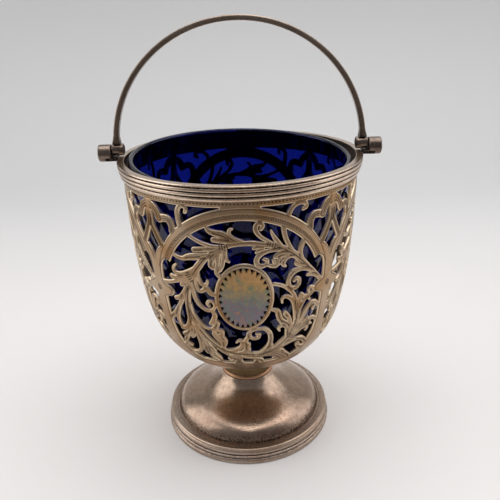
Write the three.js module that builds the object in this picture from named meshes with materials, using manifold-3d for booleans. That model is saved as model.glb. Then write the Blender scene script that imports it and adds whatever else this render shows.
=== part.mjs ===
// Pedestal basket with a swing handle and a loose glass liner.
// Millimetres, +Z up. The origin is under the middle of the foot, on the table.
// The handle swings about a left to right axis, along X; the front is towards -Y.
import * as THREE from 'three';
import { mergeVertices } from 'three/addons/utils/BufferGeometryUtils.js';
import Module from 'manifold-3d';

const wasm = await Module();
wasm.setup();

// Foot: a spun sheet dome that stands inside a reeded border ring
const FOOT_RADIUS = 34;
const BORDER_TOP_RADIUS = 32.6;
const BORDER_FACE_HEIGHT = 5.5;
const BORDER_HEIGHT = 6.1;
const BORDER_INNER_RADIUS = 30.2;
const BORDER_REED = 0.45;
const BORDER_REEDS = 3;
const FOOT_LEDGE = 2.2;
const FOOT_LEDGE_WIDTH = 1.2;
const FOOT_HEIGHT = 21.4;
const FOOT_SHEET = 0.9;
const DOME_RADIUS = 29.1;
const NECK_RADIUS = 10.4;

// Neck ring and stem between the foot and the bowl
const RING_HEIGHT = 1.2;
const RING_TOP_RADIUS = 9.9;
const RING_ROUND = 0.2;
const STEM_RADIUS = 9.9;
const STEM_WAIST = 9.2;
const STEM_HEIGHT = 8.7;
const STEM_SEAT_RADIUS = 10.5;

// Bowl of pierced sheet, measured outside
const BOWL_RADIUS = 41.3;
const BOWL_DEPTH = 78.3;
const BOWL_SHEET = 0.9;

// Reeded band round the bowl's top edge, proud of the bowl's side
const RIM_PROUD = 1.7;
const RIM_HEIGHT = 5.5;
const RIM_CAP = 1.1;
const RIM_LIP = 0.8;
const RIM_REED = 0.3;
const RIM_REEDS = 4;

// Glass liner, loose in the bowl: its lip is a little under the rim's top edge at its middle, and it
// leans, with its left side and its back up
const LINER_CLEARANCE = 1.1;
const LINER_NARROWING = 0.6;
const LINER_SEAT_GAP = 0.1;
const LINER_WALL = 2;
const LIP_DROP = 0.2;
const LINER_FORWARD = 0.6;
const LINER_HEEL = 3;
const LIP_ROUND = 0.8;
const LEAN_LEFT = THREE.MathUtils.degToRad(1.4);
const LEAN_BACK = THREE.MathUtils.degToRad(2.7);

// Rows of the liner's wall, as shares of the bowl's outer line from its top edge to its middle
const LINER_ROWS = [0.02, 0.36, 0.54, 0.66, 0.76, 0.84, 0.9, 0.95];

// Handle: a bowed strap with a bored knuckle on each end. Its outer face stands a little outside
// the rim's edge at the hinge, and it bows up a little less than half a circle would.
const STRAP_PROUD = 1.2;
const STRAP_FLATTENING = 1.5;
const STRAP_THICKNESS = 1.8;
const STRAP_WIDTH = 3.8;
const STRAP_END_WIDTH = 3.2;
const STRAP_THREAD = 0.25;
const STRAP_THREAD_WIDTH = 0.8;
const STRAP_SOFTENING = 0.35;
const KNUCKLE_RADIUS = 2.05;
const KNUCKLE_LENGTH = 4.1;
const KNUCKLE_SET_IN = 3.4;
const PIN_RADIUS = 0.85;
const HINGE_RUNNING_GAP = 0.06;

// Hinge lugs: a barrel outside the knuckle, on a tongue that meets the rim band
const LUG_RADIUS = 3;
const LUG_LENGTH = 4.7;
const LUG_DROP = 1.2;
const LUG_NOSE = 0.9;
const LUG_EDGE = 0.3;
const TONGUE_WIDTH = 5.4;
const TONGUE_THICKNESS = 1.3;
const PIN_DEPTH = 3.6;

// Gaps: solder seams, and what moves past a neighbour
const SEAM = 0.1;
const SWING_GAP = 0.3;
const SIDE_PLAY = 0.25;

// Facets of a full turn
const FACETS = 40;
const LUG_SIDES = 20;
const BAR_SIDES = 16;

// The bowl's plain border, and how far the pierced panels reach below it along the sheet
const PANELS = 4;
const BORDER_DEPTH = 5.3;
const PIERCED_REACH = 64;

// The ornament is drawn flat, in units of its own that are stretched to fit a panel: degrees across
// and units down. A strand has three numbers for each point, the third its width in those units.
const DRAWING = {
  panel: 87.75, middle: 0.3, border: 5.3, reach: 64, spandrelTop: 0.6, widening: 0.3,
};
const ARCH = { centre: 31.4, outer: 31, inner: 26.7, crown: 6, shoulder: 15.2, seamFoot: 17.3 };
const SHIELD = { across: 0.75, down: 31.5, halfWidth: 9.7, halfHeight: 12.65, sides: 32 };

// How finely the drawing is cut out: grid, thinning of the outlines, least opening, longest edge
const CUTTING = {
  grid: 0.3, margin: 1, tolerance: 0.42, smallest: 2, longestEdge: 8, passes: 30, bulge: 1e-6,
};
const MERGE_WITHIN = 0.001;

// Where the seam between two panels runs from the arch to a pilaster's middle line
const PANEL_SEAM = [[1.9, 20.3], [0, 23.5]];

// Rows of the closed cup under the pierced panels, as shares of its length down to the middle
const CUP_ROWS = [0, 0.2, 0.4, 0.6, 0.8, 1];

// The ring of stems round the shield: top, right and left, then the foot of the wreath
const STEMS = [
  [-23.8, 25.2, 1.8, -21.6, 22.8, 2.3, -19.2, 20.3, 2.4, -16, 17.5, 2, -12, 15.2, 1.6, -8, 13.6, 1.5,
    -6.5, 13, 1.5],
  [-6.5, 13, 1.5, -3, 12.3, 1.4, 1, 12, 1.5, 5, 12.1, 1.6, 9, 12.7, 1.6, 12.5, 13.2, 1.6],
  [12.5, 13.2, 1.6, 16.5, 14.2, 1.8, 20.5, 15.9, 2.2, 24, 17.8, 2.2, 27.5, 20.3, 2, 31, 23, 1.7,
    35, 26, 1.5, 38.5, 28.8, 1.5, 41, 30, 1.5],
  [-23.8, 25.2, 1.6, -25.4, 29, 1.7, -26.5, 32.5, 2, -27.1, 36, 2, -27.2, 40, 1.9, -27.4, 43.5, 1.8],
  [8, 56.2, 1.8, 3, 56, 1.7, -2, 55.7, 1.7, -6.5, 55.1, 1.7, -11, 53.8, 1.7, -15, 51.8, 1.8,
    -19, 48.8, 1.8, -22.4, 45.4, 1.7, -24.8, 42, 1.4, -25.9, 38.5, 1.2, -26.2, 35, 1.2],
  [8, 56.2, 1.8, 13, 55.5, 2, 17.5, 53.6, 2.2, 21.5, 50.8, 2.4, 24, 48.9, 2, 24.8, 47.5, 1.6],
];

// Leaves that spring from the upper left stem
const UPPER_LEFT_LEAVES = [
  [-1, 11.3, 1, -4.5, 10.6, 1.6, -7.5, 9.2, 2.3, -10.2, 8.7, 1.9, -12.8, 8.1, 1.5, -14.2, 7.1, 0.9],
  [-2, 11.6, 1, -6, 11.3, 1.3, -9, 11, 1.6, -11.3, 10.8, 1.6],
  [0.5, 11.2, 0.8, -2.6, 10.3, 0.9, -4.4, 9.2, 0.9, -4.8, 8.2, 0.9, -4.2, 7.4, 0.8, -3.4, 7.2, 0.6],
  [-8, 13, 1, -12, 13, 1.1, -16, 12.3, 1.1, -19.5, 11.2, 1, -22.5, 10, 1.1],
  [-9.5, 13.7, 0.9, -13, 14.1, 1.4, -17, 14.3, 1.7, -20.3, 14.6, 1.7],
  [-13, 15.6, 0.9, -17, 16.5, 1.6, -20.5, 17, 2.3, -23.5, 17.4, 2, -26.5, 18.2, 1.4, -29, 18, 1.2,
    -31.8, 17.3, 1],
  [-9, 14.4, 0.9, -11, 15.8, 1.3, -12.6, 17.6, 1.7, -13.2, 19.3, 1.8, -12.6, 20.2, 1.5],
  [-8.5, 14.5, 0.9, -9.6, 16.2, 1.2, -10.2, 18.2, 1.3, -10.6, 20.5, 1.3, -10.9, 22, 1.4, -9.9, 23.3, 1.1],
  [-7, 14.3, 0.8, -7.4, 16, 1.1, -7.8, 17.8, 1.2, -8.3, 19.5, 1.2, -9.4, 21.2, 1],
  [-6.5, 14.3, 0.8, -6.5, 16, 0.8, -6.1, 17.6, 0.8, -5.2, 18.1, 0.6],
  [-19.8, 21.5, 0.9, -19.6, 24.3, 1.1, -18.8, 26.2, 1.2, -17.4, 26.9, 1.2, -16, 26.4, 1,
    -15.5, 25.2, 0.7],
  [-21.4, 24, 0.9, -21.1, 27, 1.2, -20.2, 29, 1.3, -18.8, 29.2, 1.3, -17.2, 28.4, 1.5, -15.8, 28.2, 1.5,
    -15, 29.3, 1.5, -13.7, 30.1, 1.2, -12.3, 30.2, 0.9],
  [-21.5, 21.6, 1.6, -25, 23.1, 1.7, -28.5, 24, 1.5, -31.2, 24, 1.4, -32.4, 22.9, 1, -31.9, 21.7, 0.8,
    -30.6, 20.9, 0.6],
  [-25, 24.4, 1, -29, 25.2, 1.3, -32, 25.8, 1.5, -34, 25.7, 1.6],
  [-24.5, 25.2, 0.9, -28, 26.3, 1.1, -32, 27.2, 1.2, -36, 28.2, 1.3, -40, 28.8, 1.6],
  [-24.6, 25.6, 0.8, -27, 27.2, 1.2, -28.9, 28.1, 1.3],
];

// Hooks, tendrils and the large spiral on the upper right stem
const UPPER_RIGHT_LEAVES = [
  [14, 13, 0.9, 11.5, 11.8, 1, 8.5, 10.3, 1.1, 6.5, 8.3, 1.3, 6.4, 6.6, 1.3, 8, 5.6, 1.3, 9.2, 6.6, 1.1,
    8.5, 7.7, 0.9],
  [17.5, 14, 1, 15.2, 11.9, 1.3, 13.6, 10, 1, 12.7, 8.4, 0.5],
  [23, 16.5, 1, 20.8, 14, 1.2, 19.2, 11.5, 1.3, 18.4, 9.2, 1.4, 18.2, 7.7, 1.4],
  [28, 20.2, 0.9, 26.6, 17.8, 1.3, 26.6, 15.6, 1.6, 27.7, 13.8, 1.6],
  [20, 15.5, 1, 16, 14.9, 1.2, 12, 14.9, 1.3, 8.5, 15.8, 1.4, 6.5, 17.6, 1.5, 6.8, 19.4, 1.5,
    8.8, 20, 1.4, 10.6, 19.4, 1.2, 11, 18.2, 1.1, 9.7, 17.7, 0.9],
  [9.5, 13.8, 0.8, 6.8, 13.5, 1, 5.3, 13.8, 0.9],
  [9.5, 14.3, 0.8, 7.4, 14.6, 0.9, 6.3, 15.3, 0.6],
  [22.5, 17.4, 1, 19.5, 16.4, 1.3, 16.5, 16.4, 1.6, 14.8, 17.3, 1.5],
  [20, 17.3, 0.8, 17, 17.4, 1.1, 16.2, 18.8, 1.4, 15.2, 20.1, 1.5, 13, 20.3, 1.2, 10.9, 19.6, 0.9],
  [13.7, 18.3, 0.9, 14.4, 19.5, 1.3],
  [25.5, 19, 0.9, 22.5, 18, 1, 20.2, 18.1, 1.2, 18.6, 19.2, 1.3, 18.3, 20.5, 1.1, 19.3, 21, 0.7],
  [20, 17.8, 0.8, 17.9, 18.6, 1, 17.3, 19.8, 0.9],
  [30.5, 23, 0.9, 27.5, 21.9, 1.3, 25.5, 21.3, 1.6, 24.5, 20.6, 1.4],
  [35, 26.3, 0.9, 31.5, 24.2, 1.3, 28, 23.3, 1.3, 25, 23.4, 1.4, 22.3, 24.6, 1.5, 21, 26.8, 1.5,
    21.8, 28.9, 1.4, 24.3, 29.7, 1.4, 26.4, 28.6, 1.3, 26.3, 26.8, 1.2, 25, 26.2, 1.1, 23.9, 27, 1],
  [25.6, 22.9, 0.8, 23, 23, 0.9, 21.6, 24.2, 0.8],
  [39, 29.2, 0.9, 36, 27.3, 1.2, 33.5, 26.3, 1.2, 31, 26.1, 1],
];

// Blades and curls that hang from the left knot
const LEFT_LEAVES = [
  [-24.5, 26, 1, -26.8, 29, 1.3, -28.8, 31.5, 1.5, -31, 33.2, 1.6, -33.5, 34, 1.5],
  [-27.5, 30, 1, -30, 34.2, 1.4, -33, 37.5, 1.5, -36.5, 40.7, 1.6, -40, 43.2, 2.2],
  [-31, 35.6, 0.9, -33, 38.6, 1.2, -34.6, 41, 1.5, -35, 43.5, 1.4, -34, 45.8, 1.4],
  [-23.6, 26, 1, -23.2, 29, 1.4, -22.4, 32.5, 1.3, -20.4, 35, 1.2, -17.5, 36.4, 1.2, -14.6, 36.2, 1.1,
    -13.1, 34.6, 1, -14, 33, 0.9, -15.8, 32.8, 0.9, -16.8, 33.9, 0.9, -15.9, 34.8, 0.8],
  [-25.6, 35, 0.9, -25.2, 38, 1.1, -23.9, 40.5, 1.3, -21.5, 42.8, 1.3, -18.8, 44.1, 1.1, -16, 44.3, 1],
  [-14.5, 36.6, 1, -13.7, 38.3, 1.6, -14.6, 40.2, 1.6, -16.2, 42, 1.3],
  [-14.4, 40.2, 1.2, -13, 41.5, 1.8, -14.2, 43.2, 1.8, -16, 44.2, 1.2],
  [-14.5, 44.6, 1.2, -15.4, 46.4, 1.4, -14.2, 48, 1.5, -12.2, 49.6, 1.6, -11.2, 51.2, 1.5,
    -11.3, 53, 1.2],
  [-13.5, 44.2, 1.4, -11.2, 45, 1.6, -11.4, 46.8, 1.7],
  [-13.5, 46.4, 1.4, -11.2, 47.8, 1.7, -9.9, 49.2, 1.6, -10.3, 51, 1.4],
  [-28, 42, 1.2, -29, 44, 1.5, -31, 45.8, 1.6, -33.8, 46.5, 1.5],
  [-27, 43.5, 1.2, -28.5, 46.3, 1.6, -31, 48.3, 1.8, -33.6, 49.4, 1.8],
  [-26.2, 44, 1, -26.6, 46.5, 1.4, -27.4, 48.6, 1.6, -28.6, 49.6, 1.2],
  [-30.5, 48.8, 1.4, -32.5, 50.8, 1.8, -33.9, 52.2, 1.7, -34.4, 53.6, 1.6],
  [-25.5, 44, 1.2, -24.6, 48, 1.6, -24.2, 51.5, 1.6, -24.8, 54.5, 1.6, -27, 57, 1.5, -30, 58.1, 1.4,
    -33, 57.9, 1.5, -35.5, 56.8, 1.8, -38, 55.6, 2.2],
  [-36.5, 55.6, 1.9, -34.5, 54.7, 1.7, -32.5, 54.4, 1.5, -31.3, 54.6, 1.1],
  [-24, 45.5, 1, -22.8, 49, 1.2, -22, 52, 1.4, -22.2, 54.8, 1.8, -21.6, 56.6, 1.7],
  [-22.8, 46.5, 0.9, -20, 50.5, 1.2, -18, 53.5, 1.5, -16.6, 55, 1.1],
  [-20.8, 50.5, 1.2, -20, 54, 1.8, -19.8, 57, 1.5, -19.4, 59.2, 1.5, -17.6, 60.8, 1.4, -16.2, 63, 1.3],
  [-18.6, 54, 1.6, -16.9, 57, 1.6, -15.2, 59, 1.6, -14.8, 61, 1.4, -15.8, 63, 1.3],
];

// The fan of blades on the right knot
const RIGHT_LEAVES = [
  [22.8, 50.8, 1.6, 22.4, 48, 1.8, 22, 45.8, 1.6, 20.8, 44.4, 1.3, 18.8, 44, 1.3, 17.4, 45, 1,
    18, 46.1, 0.6],
  [23.6, 47.5, 1.2, 22.3, 44.5, 1.4, 20.3, 42.6, 1.5, 18, 41.2, 2, 17, 39.3, 2, 16.3, 37.6, 1.6,
    14, 36.7, 1],
  [24.2, 46.5, 1.2, 23.6, 43.5, 1.4, 22.2, 41, 1.6, 20.6, 39.4, 1.7, 20, 38.5, 1],
  [23, 46.6, 1, 21, 43.6, 1.2, 18.6, 42.6, 1.4],
  [24.5, 49.5, 1.4, 25.8, 45.5, 1.4, 26.3, 41, 1.5, 25.9, 37, 1.4, 25.2, 34, 1.3, 23.6, 31.6, 1.2,
    21, 29.5, 1.2, 18, 27.9, 1.1, 14.2, 26.9, 1.1],
  [26, 44, 0.8, 25, 38, 1.2, 23.8, 34.7, 1.3, 21.5, 32.7, 1.3, 19.4, 32.3, 1.1, 18.2, 33.2, 0.8,
    18.4, 34.5, 0.6],
  [25.5, 47.5, 1.2, 27.4, 43, 1.4, 27.9, 38.5, 1.5, 27.6, 35, 1.6, 28.3, 33, 1.4],
  [27.8, 40, 1, 28.8, 37.2, 1.3, 30.5, 35.3, 1.3, 32.3, 34.9, 1.1, 33.7, 36.2, 0.6],
  [28.8, 33.2, 1.2, 30.6, 34.2, 1.3, 33, 34, 1.3, 34.9, 33.2, 1.2, 35.4, 32, 1.1, 33.8, 31.2, 1,
    32.4, 31.7, 0.9, 32.6, 32.7, 0.8],
  [25.8, 47.8, 1.3, 29, 44.8, 1.5, 31, 41.7, 1.5, 33, 39, 1.5, 35.5, 37.6, 1.4, 38, 38.2, 1.4,
    40.6, 40.2, 1.6],
  [39, 39.3, 1, 37.2, 39.6, 1, 36.7, 40.8, 0.9],
  [26.5, 48.2, 1.2, 30, 46, 1.5, 33, 44.6, 1.5, 34, 43.6, 0.8],
  [29, 47, 1.2, 34, 45.6, 1.8, 37, 44.4, 1.4, 40.8, 46, 1.6],
  [31, 46.6, 1, 35, 46.6, 1.3, 37.2, 47, 0.7],
  [24.6, 50.6, 1.2, 28.5, 48.6, 1.3, 31.5, 47.3, 1.3, 34, 47.1, 1.3, 34.9, 48.3, 1, 34, 49.2, 0.7],
];

// Scrolls and leaves along the foot of the wreath
const BOTTOM_LEAVES = [
  [-8, 53.8, 1, -4.5, 53.4, 1.5, -2, 52, 1.5, -1.2, 50.3, 1.3, -1.7, 49, 1.3, -3, 49, 0.9,
    -4.2, 49.8, 0.6],
  [-3, 54.6, 1, 0.2, 53.7, 1.6, 1, 51.2, 1.8, 0.6, 49, 1.6, 1.8, 47.3, 1.3, 2.2, 45.6, 1.2,
    4.2, 44.3, 1.2],
  [-1, 54.8, 0.9, 1.8, 54.3, 1.2, 2.5, 53.2, 1.1],
  [0.9, 52.4, 0.9, 2.2, 51.4, 1.1, 2.4, 50.4, 0.9],
  [8, 56, 1.5, 11.5, 53.8, 1.7, 13.3, 51, 1.8, 13.5, 48.2, 1.8, 12.4, 45.7, 1.6, 10, 44.1, 1.4,
    7.5, 43.9, 1.2, 4.5, 44.2, 1.2, 2.8, 45.4, 1.2, 3, 47.2, 1.2, 4.8, 48.1, 1.2, 6.9, 47.8, 1.3,
    7.5, 46.5, 1.2, 6.3, 46.1, 1],
  [-6, 55.6, 1, -3.5, 57, 1.3, 0, 58, 1.3, 4, 58.8, 1.3, 7.5, 59.3, 1.4, 10, 60.5, 1.3, 10.9, 63, 1.1],
  [-14.5, 53.3, 1.2, -11, 55.4, 1.5, -8, 57.2, 1.4, -6.4, 58.9, 1.3, -7.2, 60.2, 1, -8.8, 60.2, 0.9,
    -9.6, 58.9, 0.8],
  [-7, 56.6, 1.2, -4.7, 59, 1.7, -3.8, 61, 2, -3.6, 63.4, 2.2],
  [-4, 57.2, 1, -2.6, 58.6, 1.2, -2.4, 59.8, 0.9],
  [-3.4, 60.2, 1, -2, 61.3, 1.1, -2.2, 63.2, 1],
  [-4.6, 60, 0.9, -5.7, 61.2, 1, -5.3, 63.2, 1],
  [6.5, 59.4, 1.2, 7.4, 61.5, 1.7, 7.4, 63.4, 2.2],
  [7, 60.2, 0.9, 5.8, 61.3, 1, 6, 63.2, 1],
  [6, 56.8, 1.6, 10, 57.1, 1.6, 14, 56.4, 1.5, 18, 55.2, 1.4, 21, 53.9, 1.2, 25, 52.7, 1.4,
    29, 52.1, 1.7, 32.5, 52.8, 1.9, 35.3, 54.6, 1.9, 38, 56.6, 2.4],
  [10, 57.6, 1.2, 15, 58, 1.4, 18.5, 59.3, 1.6, 20.5, 61.2, 1.6, 21.5, 63.4, 1.4],
  [14, 57.7, 0.9, 17.2, 58.9, 1.2, 18, 60.2, 1, 16.8, 60.6, 0.7],
  [17, 56, 1.3, 21, 56.4, 1.7, 23.2, 58.3, 1.6, 25.6, 60, 1.7, 27.6, 61.8, 1.7, 28.8, 63.4, 1.5],
  [12, 57, 1.6, 18, 57.7, 2.4, 21.5, 59.5, 2.8, 24.5, 61.6, 3, 26, 63.4, 2.4],
  [10.5, 55.5, 1.2, 13, 53.8, 1.5, 14.8, 52.3, 1],
  [38, 58.2, 2.2, 34.2, 57.8, 2, 31.9, 56.8, 1.8, 30.8, 55.5, 1.5, 31.6, 54.9, 0.9],
];
// Right half of the spandrel over a pilaster, from the pilaster's middle line
const SPANDREL = [
  [-1, 1.7, 2.7, 2.7, 2.5, 2.7, 5, 4.1, 2.7, 6.2, 6, 2.7],
  [6.2, 6.3, 2.3, 8.6, 5.7, 2.4, 11.3, 5.8, 2.4, 13, 7.4, 2.3, 12.9, 9.6, 2],
  [0, 3.2, 2.6, 0.3, 6, 2.4, 0.9, 8.6, 2, 2.9, 11.5, 2.2, 5.6, 14.9, 2.2],
];

// Small hooks between the arch and the border, to the left and right of a pilaster
const HOOKS = [
  [-24.2, 5, 1.4, -22.6, 2.4, 1.3, -20.6, 1.2, 1.2, -18.2, 0.8, 1.2, -16, 1.2, 1.3, -15.6, 2.4, 1.3,
    -17, 3, 1],
  [17.2, 7.2, 1.6, 16.7, 4.6, 1.5, 16.7, 2.6, 1.5, 17.8, 1.1, 1.3, 19.6, 0.7, 1.1, 20.9, 1.5, 1.1,
    20.4, 2.6, 1],
];

// Right half of the window under the arch, from the panel's middle line, below the arch's curve
const WINDOW_SIDE = [
  [34.3, 20.7], [35.5, 20.1], [37.1, 20.1], [38.7, 21], [39.9, 22.6], [40.4, 24.8], [40.3, 45.5],
  [39.5, 50], [37.7, 54.3], [34.5, 58.2], [31, 60.8], [27.6, 62.3],
];

// Right half of the arch's shoulder, from the pilaster's middle line up to the arch's curve
const SHOULDER = [[0, 20.5], [0.6, 19.3], [1.7, 17.8], [3.5, 16.3], [5.4, 15.5]];

// Right half of the leafed boss on a pilaster
const BOSS_SIDE = [
  [3, 28.6], [4.6, 29.4], [7.3, 30.3], [9, 31.4], [9.1, 32.5], [8, 33.5], [6, 34.1], [3, 35],
];

const silver = new THREE.MeshStandardMaterial({ color: 0xa59180, roughness: 0.35, metalness: 1 });
const copperTint = new THREE.MeshStandardMaterial({ color: 0xb07a5a, roughness: 0.4, metalness: 1 });
const cobaltGlass = new THREE.MeshStandardMaterial({
  color: 0x0a1260, roughness: 0.06, metalness: 0, transparent: true, opacity: 0.6,
});

// One closed mesh from a geometry: shared corners merged, empty triangles dropped, faces outwards
function closed(geometry) {
  const bare = geometry.clone();
  bare.deleteAttribute('normal');
  bare.deleteAttribute('uv');
  const merged = mergeVertices(bare, 1e-4);
  const corners = Array.from(merged.index.array);
  const kept = [];
  for (let i = 0; i < corners.length; i += 3) {
    const [a, b, c] = corners.slice(i, i + 3);
    if (a !== b && b !== c && c !== a) kept.push(a, b, c);
  }
  merged.setIndex(kept);
  if (volume(merged) < 0) merged.setIndex(kept.reverse());
  merged.computeVertexNormals();
  return merged;
}

function volume(geometry) {
  const position = geometry.attributes.position;
  const index = geometry.index.array;
  const corner = [new THREE.Vector3(), new THREE.Vector3(), new THREE.Vector3()];
  let total = 0;
  for (let i = 0; i < index.length; i += 3) {
    corner.forEach((point, k) => point.fromBufferAttribute(position, index[i + k]));
    total += corner[0].dot(corner[1].cross(corner[2])) / 6;
  }
  return total;
}

function solid(geometry) {
  const mesh = closed(geometry);
  return new wasm.Manifold(new wasm.Mesh({
    numProp: 3,
    vertProperties: mesh.attributes.position.array,
    triVerts: new Uint32Array(mesh.index.array),
  }));
}

function geometryOf(shape) {
  const mesh = shape.getMesh();
  const geometry = new THREE.BufferGeometry();
  geometry.setAttribute('position', new THREE.BufferAttribute(new Float32Array(mesh.vertProperties), 3));
  geometry.setIndex(Array.from(mesh.triVerts));
  geometry.computeVertexNormals();
  return geometry;
}

// A turned piece about Z from [radius, height] points that start and end on the axis or close
function turned(profile, facets = FACETS) {
  const points = profile.map(([radius, height]) => new THREE.Vector2(radius, height));
  return new THREE.LatheGeometry(points, facets).rotateX(Math.PI / 2);
}

function closedLine(points) {
  return [...points, points[0]];
}

// A line of [radius, height] points moved to its left by a distance, square to its run
function offsetLine(points, distance) {
  return points.map(([radius, height], i) => {
    const before = points[Math.max(i - 1, 0)];
    const after = points[Math.min(i + 1, points.length - 1)];
    const run = Math.hypot(after[0] - before[0], after[1] - before[1]);
    const across = (after[1] - before[1]) / run;
    const along = (after[0] - before[0]) / run;
    return [Math.max(radius - distance * across, 0), height + distance * along];
  });
}

// Outer line of a band of rounded reeds that steps down its face
function reedLine(top, bottom, topRadius, bottomRadius, count, depth) {
  const points = [];
  for (let i = 0; i < count; i += 1) {
    const from = i / count;
    const pitch = 1 / count;
    [[0.04, 1], [0.5, 0], [0.96, 1]].forEach(([share, hollow]) => {
      const at = from + share * pitch;
      const radius = topRadius + (bottomRadius - topRadius) * at - hollow * depth;
      points.push([radius, top + (bottom - top) * at]);
    });
  }
  return points;
}

// Heights that follow from the pieces stacked below, and what lines up with the bowl and rim
const ringTop = FOOT_HEIGHT + SEAM + RING_HEIGHT;
const stemTop = ringTop + SEAM + STEM_HEIGHT;
const bowlBottom = stemTop + SEAM;
const bowlTop = bowlBottom + BOWL_DEPTH;
const rimTop = bowlTop + SEAM + RIM_CAP;
const rimRadius = BOWL_RADIUS + RIM_PROUD;
const handleRadius = rimRadius + STRAP_PROUD;
const handleRise = handleRadius - STRAP_FLATTENING;
const pivotHeight = rimTop + SWING_GAP + KNUCKLE_RADIUS;
const knuckleInner = handleRadius - KNUCKLE_SET_IN;
const lugInner = knuckleInner + KNUCKLE_LENGTH + SIDE_PLAY;

// Outer line of the bowl as shares of its radius and depth, from the top edge to the axis
const bowlCurve = new THREE.SplineCurve([
  [1, 0], [0.998, 0.069], [0.988, 0.255], [0.973, 0.382], [0.949, 0.51], [0.91, 0.637],
  [0.86, 0.739], [0.775, 0.833], [0.63, 0.924], [0.484, 0.966], [0.34, 0.992], [0.2, 1], [0, 1],
].map(([out, down]) => new THREE.Vector2(BOWL_RADIUS * out, bowlTop - BOWL_DEPTH * down)));
bowlCurve.arcLengthDivisions = 400;
const bowlLength = bowlCurve.getLength();

// A point of the bowl's outer line at a distance along it, moved outwards by a lift
function sheetPoint(distance, lift) {
  const share = THREE.MathUtils.clamp(distance / bowlLength, 0, 1);
  const point = bowlCurve.getPointAt(share);
  const along = bowlCurve.getTangentAt(share);
  return [point.x - along.y * lift, point.y + along.x * lift];
}

const PANEL_FACETS = FACETS / PANELS;

// A degree across the drawing, so that the window's side meets the arch where the arch springs
const springing = archSide(ARCH.inner, WINDOW_SIDE[0][1]);
const UNITS_PER_DEGREE = springing / WINDOW_SIDE[0][0];
const HALF_PANEL = (DRAWING.panel / 2) * UNITS_PER_DEGREE;

// A square grid over half a panel each way; a value is the depth of a point inside the metal
const gridWidth = Math.ceil((2 * HALF_PANEL) / CUTTING.grid) + 1;
const gridHeight = Math.ceil((DRAWING.reach + 2 * CUTTING.margin) / CUTTING.grid) + 1;

function gridPoint(i) {
  const row = Math.floor(i / gridWidth);
  return [(i % gridWidth) * CUTTING.grid - HALF_PANEL, row * CUTTING.grid - CUTTING.margin];
}

// A grid that is open inside an outline and metal outside it
function openField(outline) {
  return Float64Array.from({ length: gridWidth * gridHeight }, (_, i) => {
    const point = gridPoint(i);
    const gap = Math.min(...outline.map((from, k) => (
      toSegment(point, from, outline[(k + 1) % outline.length]).gap
    )));
    return inside(point, outline) ? -gap : gap;
  });
}

function inside([x, y], outline) {
  return outline.filter(([ax, ay], k) => {
    const [bx, by] = outline[(k + 1) % outline.length];
    return (ay > y) !== (by > y) && x < ax + ((y - ay) * (bx - ax)) / (by - ay);
  }).length % 2 === 1;
}

// Distance from a point to a segment, and the share of the segment where it is least
function toSegment([x, y], [ax, ay], [bx, by]) {
  const square = Math.max((bx - ax) ** 2 + (by - ay) ** 2, 1e-12);
  const along = ((x - ax) * (bx - ax) + (y - ay) * (by - ay)) / square;
  const share = THREE.MathUtils.clamp(along, 0, 1);
  return { gap: Math.hypot(x - ax - share * (bx - ax), y - ay - share * (by - ay)), share };
}

// Metal added to the grid along a line of [x, y, width] points with round ends
function addLine(field, line) {
  line.slice(1).forEach((to, k) => {
    const from = line[k];
    const reach = Math.max(from[2], to[2]) / 2 + 2 * CUTTING.grid;
    const column = (x) => Math.round((x + HALF_PANEL) / CUTTING.grid);
    const row = (y) => Math.round((y + CUTTING.margin) / CUTTING.grid);
    const left = Math.max(column(Math.min(from[0], to[0]) - reach), 0);
    const right = Math.min(column(Math.max(from[0], to[0]) + reach), gridWidth - 1);
    const top = Math.max(row(Math.min(from[1], to[1]) - reach), 0);
    const bottom = Math.min(row(Math.max(from[1], to[1]) + reach), gridHeight - 1);
    for (let j = top; j <= bottom; j += 1) {
      for (let i = left; i <= right; i += 1) {
        const at = j * gridWidth + i;
        const { gap, share } = toSegment(gridPoint(at), from, to);
        const depth = (from[2] + (to[2] - from[2]) * share) / 2 - gap;
        field[at] = Math.max(field[at], depth);
      }
    }
  });
}

// The metal of one strand, a smooth curve through its points, drawn to one side of a middle line
function addStrand(field, numbers, middle, side = 1) {
  const points = [];
  for (let i = 0; i < numbers.length; i += 3) {
    const across = side * (numbers[i] - middle) * UNITS_PER_DEGREE;
    points.push(new THREE.Vector3(across, numbers[i + 1], numbers[i + 2] + DRAWING.widening));
  }
  const curve = new THREE.CatmullRomCurve3(points);
  addLine(field, curve.getPoints(4 * (points.length - 1)).map((at) => at.toArray()));
}

function addSolid(field, outline) {
  openField(outline).forEach((value, i) => {
    field[i] = Math.max(field[i], -value);
  });
}

// Points of a circle about the arch's centre, between two signed distances from its middle line
function archArc(radius, from, to, steps) {
  const start = Math.asin(from / radius);
  const end = Math.asin(to / radius);
  return Array.from({ length: steps + 1 }, (_, i) => {
    const turn = start + ((end - start) * i) / steps;
    return [radius * Math.sin(turn), ARCH.centre - radius * Math.cos(turn)];
  });
}

// How far from its middle line an arch of this radius is at a height in the drawing
function archSide(radius, down) {
  return Math.sqrt(radius ** 2 - (ARCH.centre - down) ** 2);
}

function toFlat(outline, side = 1, shift = 0) {
  return outline.map(([across, down]) => [side * across * UNITS_PER_DEGREE + shift, down]);
}

function mirrored(half, shift = 0) {
  return [...toFlat(half, 1, shift), ...toFlat(half, -1, shift).reverse()];
}

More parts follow.
